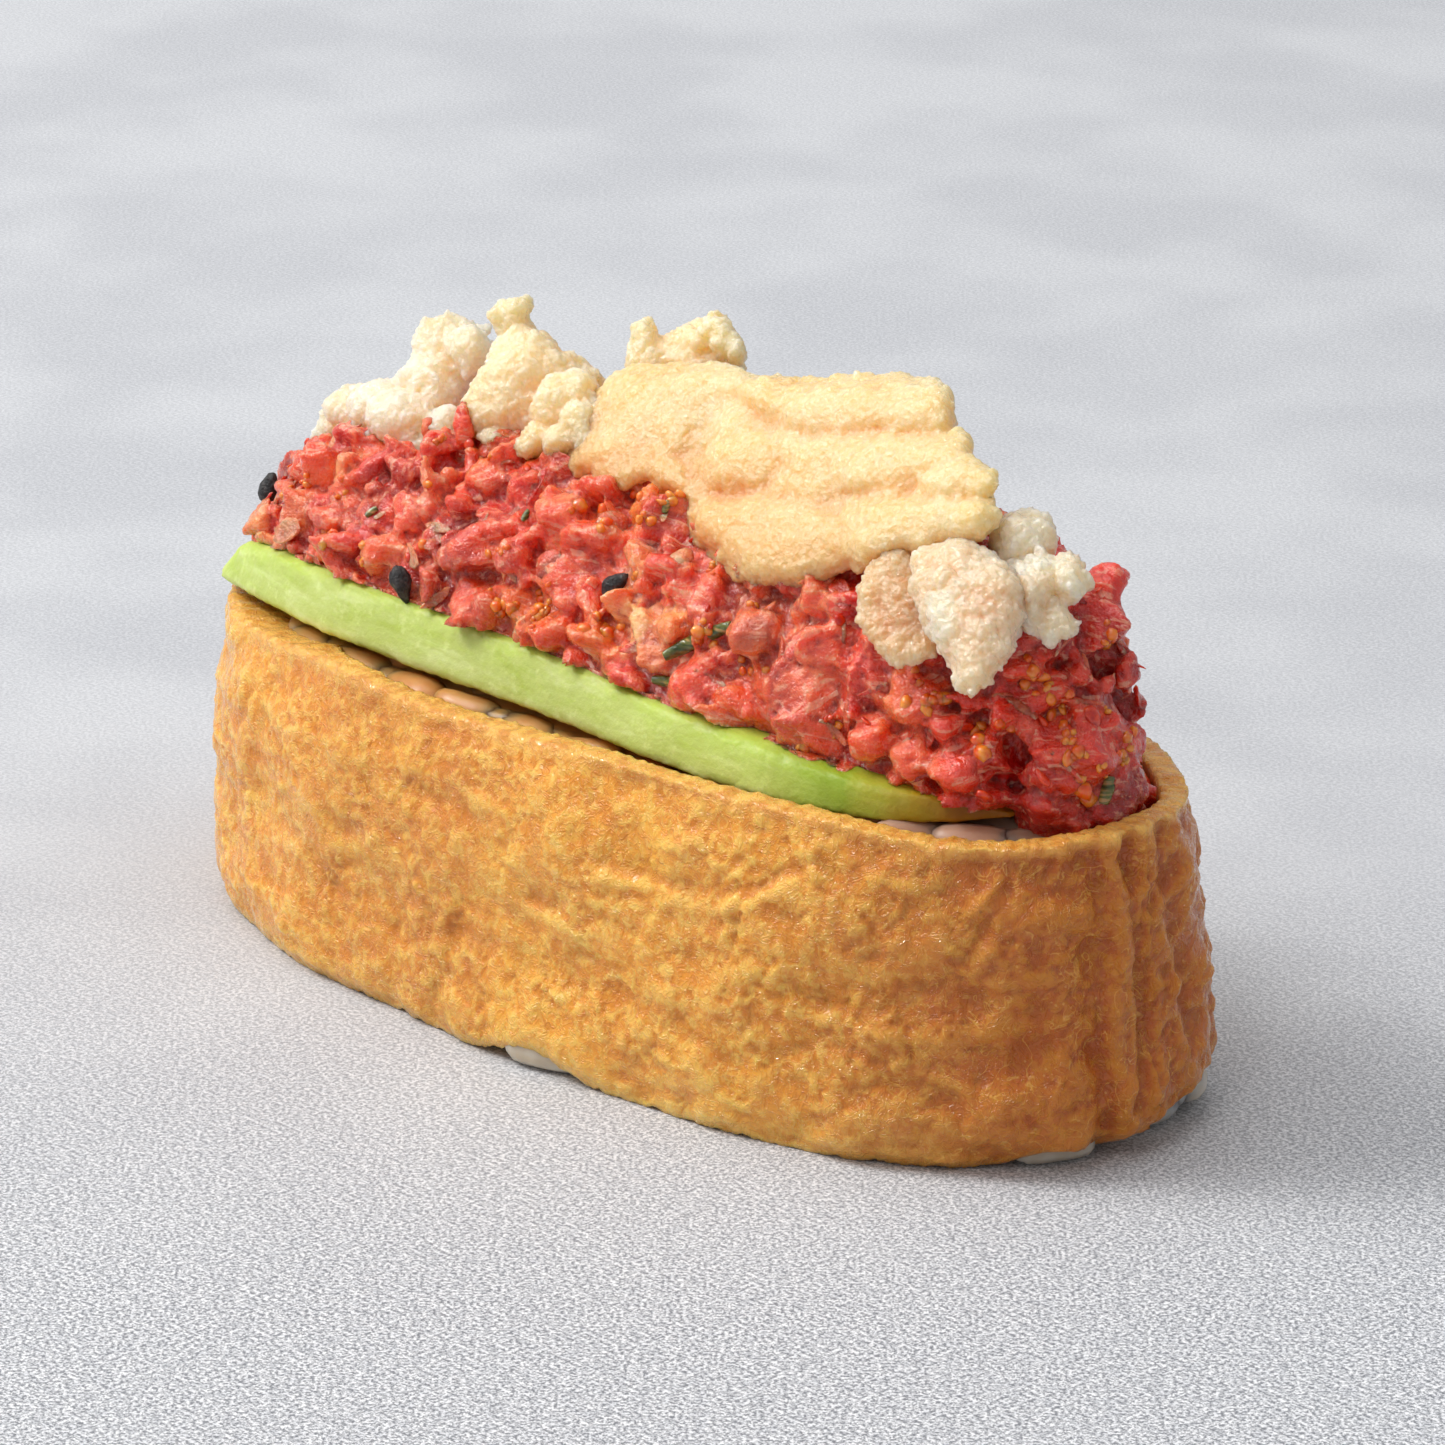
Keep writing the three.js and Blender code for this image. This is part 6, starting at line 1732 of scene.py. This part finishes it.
# the whole of the large crisp, which fills in between its cushions: middle, half depth, edge, slope towards the eye, outline
WHOLE = (
    (11.0, -1.7, 35.6), 2.5, 1.6, (0.93, -0.72), (
        (-12.2, 6.3), (-10.3, 7.2), (-6.7, 7.1), (-3.3, 6.9), (-0.7, 6.7), (1.9, 6.5), (5.4, 6.5), (8.1, 6.0), (9.3, 5.0), (9.5, 3.5),
        (10.6, 2.3), (10.8, 1.7), (11.2, 1.2), (12.0, 0.6), (12.4, -0.4), (12.0, -1.3), (11.9, -2.9), (11.1, -3.9), (9.3, -4.5),
        (7.6, -4.9), (5.2, -5.1), (4.4, -5.6), (3.2, -5.8), (2.4, -5.9), (1.1, -6.3), (-1.1, -6.4), (-2.8, -6.3), (-4.2, -5.5),
        (-5.0, -4.4), (-6.1, -3.5), (-6.6, -2.4), (-6.2, -1.7), (-6.9, -0.8), (-8.5, -0.2), (-10.3, 0.1), (-12.5, 0.4), (-14.0, 0.8),
        (-14.6, 1.7), (-14.4, 2.6), (-12.9, 5.0),
    ),
)


def cushion(at, half, edge, outline, rng, step=0.3, slope=(0.0, 0.0)):
    """A cushion with a drawn outline, facing the -Y +X corner, and small knobs along its edge."""
    Q = np.array(outline, float)
    Q2 = np.roll(Q, -1, 0)
    lo, hi = Q.min(0) - step * 1.5, Q.max(0) + step * 1.5
    nx, ny = (((hi - lo) / step).astype(int) + 2)
    X, Y = np.meshgrid(lo[0] + np.arange(nx) * step, lo[1] + np.arange(ny) * step, indexing="ij")
    G = np.stack([X.ravel(), Y.ravel()], 1)
    wob = 0.16 * np.stack([noise(np.column_stack([G * 1.1, 0 * G[:, :1] + half * 7]), 95), noise(np.column_stack([G * 1.1, 0 * G[:, :1] + half * 7]), 96)], 1)
    q = G + wob
    d = np.full(len(G), 99.0)
    inside = np.zeros(len(G), bool)
    for a, b in zip(Q, Q2):
        ab = b - a
        t = np.clip(((q - a) @ ab) / max(1e-9, ab @ ab), 0, 1)
        d = np.minimum(d, np.hypot(*(q - a - t[:, None] * ab).T))
        crosses = (a[1] > q[:, 1]) != (b[1] > q[:, 1])
        at_x = a[0] + (q[:, 1] - a[1]) / (b[1] - a[1] if b[1] != a[1] else 1e-9) * ab[0]
        inside ^= crosses & (q[:, 0] < at_x)
    h = half * np.sqrt(1 - (1 - np.clip(d / edge, 0, 1)) ** 2)
    h = h * (1 + 0.22 * noise(np.column_stack([G * 0.35, 0 * G[:, :1] + half * 3]), 97)) * (0.82 + 0.18 * np.clip(d / (2.2 * edge), 0, 1))
    h = np.where(inside & (d > 0.04), h, 0.0)
    n = len(G)
    back_id = np.where(h > 0, np.arange(n) + n, np.arange(n))
    flat = G[:, :1] * RIGHT + G[:, 1:] * UP + (G @ np.array(slope))[:, None] * BACK
    P = np.concatenate([flat + h[:, None] * BACK, flat - h[:, None] * BACK]) + np.array(at)
    i, j = np.meshgrid(np.arange(nx - 1), np.arange(ny - 1), indexing="ij")
    c = [(i + a) * ny + j + b for a, b in ((0, 0), (1, 0), (1, 1), (0, 1))]
    c = [k.ravel() for k in c]
    keep = sum(h[k] > 0 for k in c) > 0
    c = [k[keep] for k in c]
    front = [np.stack([c[0], c[1], c[2]], 1), np.stack([c[0], c[2], c[3]], 1)]
    e = [back_id[k] for k in c]
    back = [np.stack([e[2], e[1], e[0]], 1), np.stack([e[3], e[2], e[0]], 1)]
    F = np.concatenate(front + back)
    same = (F[:, 0] == F[:, 1]) | (F[:, 1] == F[:, 2]) | (F[:, 0] == F[:, 2])
    F = F[~same]
    used = np.unique(F)
    new = np.zeros(2 * n, int)
    new[used] = np.arange(len(used))
    parts = [(P[used], new[F])]
    v1, f1 = ICO[2]
    turn_in = 1.0 if (Q[:, 0] * Q2[:, 1] - Q2[:, 0] * Q[:, 1]).sum() > 0 else -1.0
    for a, b in zip(Q, Q2):
        length = np.hypot(*(b - a))
        for _ in range(int(length * 1.5) + (rng.uniform() < length * 1.5 % 1)):
            t = rng.uniform()
            r = rng.uniform(0.22, 0.44) * min(1.0, half / 1.2)
            g = a + (b - a) * t
            inward = np.array([-(b - a)[1], (b - a)[0]]) / max(length, 1e-6)
            g = g + inward * (r * rng.uniform(0.15, 0.8)) * turn_in
            cc = np.array(at) + RIGHT * g[0] + UP * g[1] + BACK * (rng.uniform(-0.5, 0.5) * half * 0.7 + g @ np.array(slope))
            u = v1 * (1 + 0.25 * noise(v1 * 1.4 + rng.uniform(0, 60), 83))[:, None] * r * rng.uniform(0.7, 1.25, 3)
            parts.append((u + cc, f1))
    return parts


def make_crisp(name, puffs, seed):
    rng = np.random.default_rng(seed)
    v0, f0 = ICO[4]
    v1, f1 = ICO[3]
    parts = []
    for x, y, z, rx, ry, rz in BODIES[name]:
        k = rng.uniform(0, 60)
        v = v0 * (1 + 0.12 * fbm(v0 * 1.1 + k, 2, 81))[:, None] * np.array([rx, ry, rz]) * (0.92 if name == "crisp_main" else 1.0)
        at = np.array([x, y, z])
        if name == "crisp_main":
            # behind the cushions, so that none of it stands out between them
            out = (at - np.array(WHOLE[0])) @ np.stack([RIGHT, UP, BACK], 1)
            at = at + BACK * (out[0] * WHOLE[3][0] + out[1] * WHOLE[3][1] - out[2] - 0.62 * max(rx, ry, rz))
        parts.append((v + at, f0))
    knobs = KNOBS[name]
    for k, (at, half, edge, outline) in enumerate(PADS[name]):
        if name == "crisp_main":
            c, thick = np.array(WHOLE[0]), WHOLE[1]
            out = (np.array(at) - c) @ np.stack([RIGHT, UP, BACK], 1)
            at = np.array(at) + BACK * (out[0] * WHOLE[3][0] + out[1] * WHOLE[3][1] + thick + PROUD[k] - half - out[2])
            edge = edge * 0.8
        parts += cushion(at, half, edge, outline, rng, slope=LEANS.get(name, (0.0, 0.0)))
    if name == "crisp_main":
        at, half, edge, slope, outline = WHOLE
        outline = [((u - 0.6) * (0.92 if u > 0 else 0.98), v * 0.95) for u, v in outline]
        parts += cushion(at, half * 0.60, edge, outline, rng, slope=slope)
        puffs = ()
    for x, y, z, hw, hh, hd, deg in puffs:
        a = math.radians(deg)
        T = np.stack([RIGHT * math.cos(a) + UP * math.sin(a), -RIGHT * math.sin(a) + UP * math.cos(a), BACK], 1)
        c, r = np.array([x, y, z]), np.array([hw, hh, hd]) * (0.86 if name == "crisp_left" else 0.78)
        k = rng.uniform(0, 60)
        # a puff is a rounded pillow rather than a ball
        w = sgnpow(v0, 0.86)
        w = w / np.linalg.norm(w, axis=1)[:, None] * (1 + 0.05 * (1 - np.abs(v0).max(1)))[:, None]
        v = w * (1 + 0.12 * fbm(v0 * 1.2 + k, 2, 81) + 0.05 * fbm(v0 * 3.0 + k, 2, 82))[:, None] * r
        parts.append((v @ T.T + c, f0))
        for _ in range(int((3 + 2.0 * hw) * knobs)):
            d = rng.normal(size=3)
            d /= np.linalg.norm(d)
            s = rng.uniform(0.25, 0.62) * min(1.0, r.min() / 1.6)
            cc = (d * r * (1 - (0.55 if knobs < 0.8 else 0.25) * s / r.min())) @ T.T + c
            u = v1 * (1 + 0.18 * fbm(v1 * 1.4 + rng.uniform(0, 60), 2, 83))[:, None] * s * rng.uniform(0.75, 1.3, 3)
            parts.append((u + cc, f1))
    ob = remeshed(name + "_puffed", *joined(parts), 0.165 if name == "crisp_main" else 0.135)
    # the puffs run into each other, only shallow hollows are left between them
    relax(ob, (7) if name == "crisp_main" else (7), 0.5)
    co, n = coords(ob), normals(ob)
    co = co + n * 0.10
    W = co + 0.45 * np.stack([noise(co * 0.8, 84), noise(co * 0.8 + 9, 85), noise(co * 0.8 + 19, 86)], 1)
    rugged = {"crisp_main": 0.85, "crisp_flake": 0.9, "crisp_small": 1.0, "crisp_nugget": 1.5}.get(name, 1.2)
    d = rugged * (0.10 * domes(W, 1.7, 87, 0.6) + 0.20 * fbm(co * 0.36, 2, 89) + 0.12 * fbm(W * 0.9, 3, 90))
    fine = 0.95 if name == "crisp_main" else 1.3
    d += fine * (0.07 * domes(W + 30, 0.95, 88, 0.7) + 0.08 * domes(W + 60, 0.55, 93, 0.8) + 0.06 * domes(W + 90, 0.36, 95, 0.8)) + 0.08 * fbm(co * 3.0, 2, 92) - 0.12
    d -= 0.08 * rugged * np.clip(1 - 4.5 * np.abs(fbm(W * 0.42, 2, 94)), 0, 1) ** 1.5
    co = co + n * d[:, None]
    set_coords(ob, co)
    hol = hollows(ob, 16)
    paint(ob, "hollow", np.clip(hol * 1.6 + 0.5, 0, 1))
    # the lower part of the main crisp, which the material paints darker as shade
    paint(ob, "low", smooth(37.5, 33.0, co[:, 2] + 0.8 * noise(co * 0.4, 96)) if name == "crisp_main" else 0 * co[:, 2])
    # how close to the tuna below: the material paints the puffs there darker and more orange, as shade and the sauce's
    # tint
    over = co[:, 2] - heap_top(co[:, 0], co[:, 1])
    paint(ob, "near", smooth(2.6, 0.4, over + 0.5 * noise(co * 0.6, 91)))
    return ob


def crisp_material(name, lo, mid, hi, crease_shade_to, near_share, gloss=0.45):
    m = Mat(name)
    col = m.ramp(m.noise(4.4, 3, 0.5), (0.34, lo), (0.5, mid), (0.64, hi))
    fine = m.ramp(m.noise(0.42, 3, 0.65), (0.36, 0.0), (0.64, 1.0))
    col = m.mix(m.math("MULTIPLY", fine, 0.30), col, rgb(255, 234, 200))
    # painted shade: the hollows between the puffs are darkened to a deeper gold
    hollow = m.attr("hollow", "Fac")
    deep = m.ramp(hollow, (0.54, 0.0), (0.86, 1.0))
    col = m.mix(m.math("MULTIPLY", deep, 0.40), col, crease_shade_to)
    speck = m.ramp(m.cells(2.6, "F1"), (0.03, 1.0), (0.09, 0.0))
    col = m.mix(m.math("MULTIPLY", speck, 0.20), col, rgb(214, 150, 84))
    # painted shade, with the sauce's tint, close to the tuna
    near = m.attr("near", "Fac")
    col = m.mix(m.math("MULTIPLY", near, near_share), col, rgb(240, 172, 118))
    # painted shade: the lower part of the main crisp darker
    col = m.mix(m.attr("low", "Fac"), col, m.mix(1.0, col, rgb(248, 232, 210), "MULTIPLY"))
    m.set(Base_Color=col, Roughness=m.ramp(m.noise(0.9, 3, 0.6), (0.36, 0.30), (0.66, 0.55)), Subsurface_Weight=0.80,
          Subsurface_Radius=(1.0, 0.74, 0.46), Subsurface_Scale=0.0044, Specular_IOR_Level=0.5, Coat_Weight=gloss, Coat_Roughness=0.10)
    n = m.bump(
        (m.noise(0.8, 3, 0.6, 0.4), 0.40, 0.10),
        (m.cells(0.40, "SMOOTH_F1", smoothness=0.25), 0.80, 0.13),
        (m.noise(0.20, 2, 0.6), 1.0, 0.11),
    )
    m.put(m.b.inputs["Coat Normal"], n)
    return m.m


crisp_golden = crisp_material("tempura_crisp_golden", rgb(244, 194, 124), rgb(247, 201, 138), rgb(250, 209, 152), rgb(244, 188, 108), 0.32)
crisp_warm = crisp_material("tempura_crisp", rgb(251, 203, 146), rgb(254, 213, 162), rgb(255, 221, 177), rgb(248, 194, 120), 0.24)
crisp_left = crisp_material("tempura_crisp_pale", rgb(251, 214, 174), rgb(253, 224, 192), rgb(255, 232, 208), rgb(246, 196, 146), 0.16)
crisp_clear = crisp_material("tempura_crisp_clear", rgb(244, 192, 148), rgb(250, 205, 166), rgb(255, 226, 196), rgb(214, 146, 96), 0.26, 0.8)
crisp_peach = crisp_material("tempura_crisp_peach", rgb(226, 154, 100), rgb(236, 172, 118), rgb(246, 194, 146), rgb(196, 118, 70), 0.30, 0.7)
CRISP_LOOK = {"crisp_left": crisp_left, "crisp_main": crisp_golden, "crisp_flake": crisp_peach, "crisp_nugget": crisp_clear, "crisp_small": crisp_clear}
for k, (name, lobes) in enumerate(CRISPS.items()):
    o = make_crisp(name, lobes, 100 + k)
    o.data.materials.append(CRISP_LOOK.get(name, crisp_warm))
    placed(o, "crisp", name)


# ---- floor, light and camera ------------------------------------------------------------------------------------------
me = bpy.data.meshes.new("floor")
me.from_pydata([(-3, -3, 0), (3, -3, 0), (3, 3, 0), (-3, 3, 0)], [], [(0, 1, 2, 3)])
floor = bpy.data.objects.new("floor", me)
bpy.context.scene.collection.objects.link(floor)
fm = Mat("pale_floor")
grit = fm.ramp(fm.noise(0.26, 2, 0.8), (0.36, rgb(118, 121, 127)), (0.64, rgb(248, 249, 251)))
broad = fm.ramp(fm.noise(26, 2), (0.35, rgb(186, 188, 193)), (0.65, rgb(199, 201, 205)))
fsep = fm.node("ShaderNodeSeparateXYZ")
fm.put(fsep.inputs[0], fm.co)
ahead = fm.math("ADD", fm.math("MULTIPLY", fsep.outputs["X"], 0.70), fm.math("MULTIPLY", fsep.outputs["Y"], -0.71))
worn = fm.remap(ahead, -0.02, 0.05, 0.20, 0.90)
grit = fm.mix(1.0, grit, fm.ramp(fm.noise(0.9, 2, 0.7), (0.36, rgb(232, 233, 236)), (0.60, rgb(252, 252, 253))), "MULTIPLY")
fm.set(Base_Color=fm.mix(worn, broad, grit), Roughness=0.72)
me.materials.append(fm.m)


def area(name, at, look, size, power, colour=(1, 1, 1), size_y=None):
    d = bpy.data.lights.new(name, "AREA")
    d.energy, d.color = power, colour
    d.shape = "RECTANGLE" if size_y else "SQUARE"
    d.size = size
    if size_y:
        d.size_y = size_y
    o = bpy.data.objects.new(name, d)
    o.location = Vector(at)
    o.rotation_euler = (Vector(look) - Vector(at)).to_track_quat("-Z", "Y").to_euler()
    bpy.context.scene.collection.objects.link(o)
    return o


mid = np.array([0, 0, 0.018])
left = -RIGHT
fwd = -np.array([BACK[0], BACK[1], 0]) / np.linalg.norm(BACK[:2])
area("key", mid + left * 0.78 + np.array([0, 0, 0.80]) + fwd * 0.16, mid, 0.50, 7.7, (1.0, 0.985, 0.96))
area("key_core", mid + left * 0.76 + np.array([0, 0, 0.78]) + fwd * 0.14, mid, 0.09, 1.5, (1.0, 0.985, 0.96))
area("front", mid + left * 0.22 + np.array([0, 0, 0.70]) - fwd * 0.55, mid, 0.16, 0.7, (1.0, 0.98, 0.95))
area("top", mid + left * 0.25 + fwd * 0.10 + np.array([0, 0, 1.1]), mid, 1.0, 5.2, (1.0, 1.0, 1.0))

world = bpy.data.worlds.new("studio")
bpy.context.scene.world = world
world.use_nodes = True
bg = world.node_tree.nodes["Background"]
bg.inputs["Color"].default_value = (0.92, 0.93, 0.95, 1)
bg.inputs["Strength"].default_value = 0.44

cam = bpy.data.cameras.new("camera")
cam.sensor_width = 36.0
cam.sensor_fit = "HORIZONTAL"
cam.lens = 7000 / 1445 * 36.0
cam.clip_start, cam.clip_end = 0.01, 10
camera = bpy.data.objects.new("camera", cam)
bpy.context.scene.collection.objects.link(camera)
place = (BACK * CAM_D + RIGHT * CAM_SX + UP * CAM_SZ + SHIFT) * MM
from mathutils import Matrix
camera.matrix_world = Matrix((
    (RIGHT[0], UP[0], BACK[0], place[0]),
    (RIGHT[1], UP[1], BACK[1], place[1]),
    (RIGHT[2], UP[2], BACK[2], place[2]),
    (0, 0, 0, 1),
))
bpy.context.scene.camera = camera
bpy.context.scene.view_settings.view_transform = "Standard"
bpy.context.scene.view_settings.look = "None"
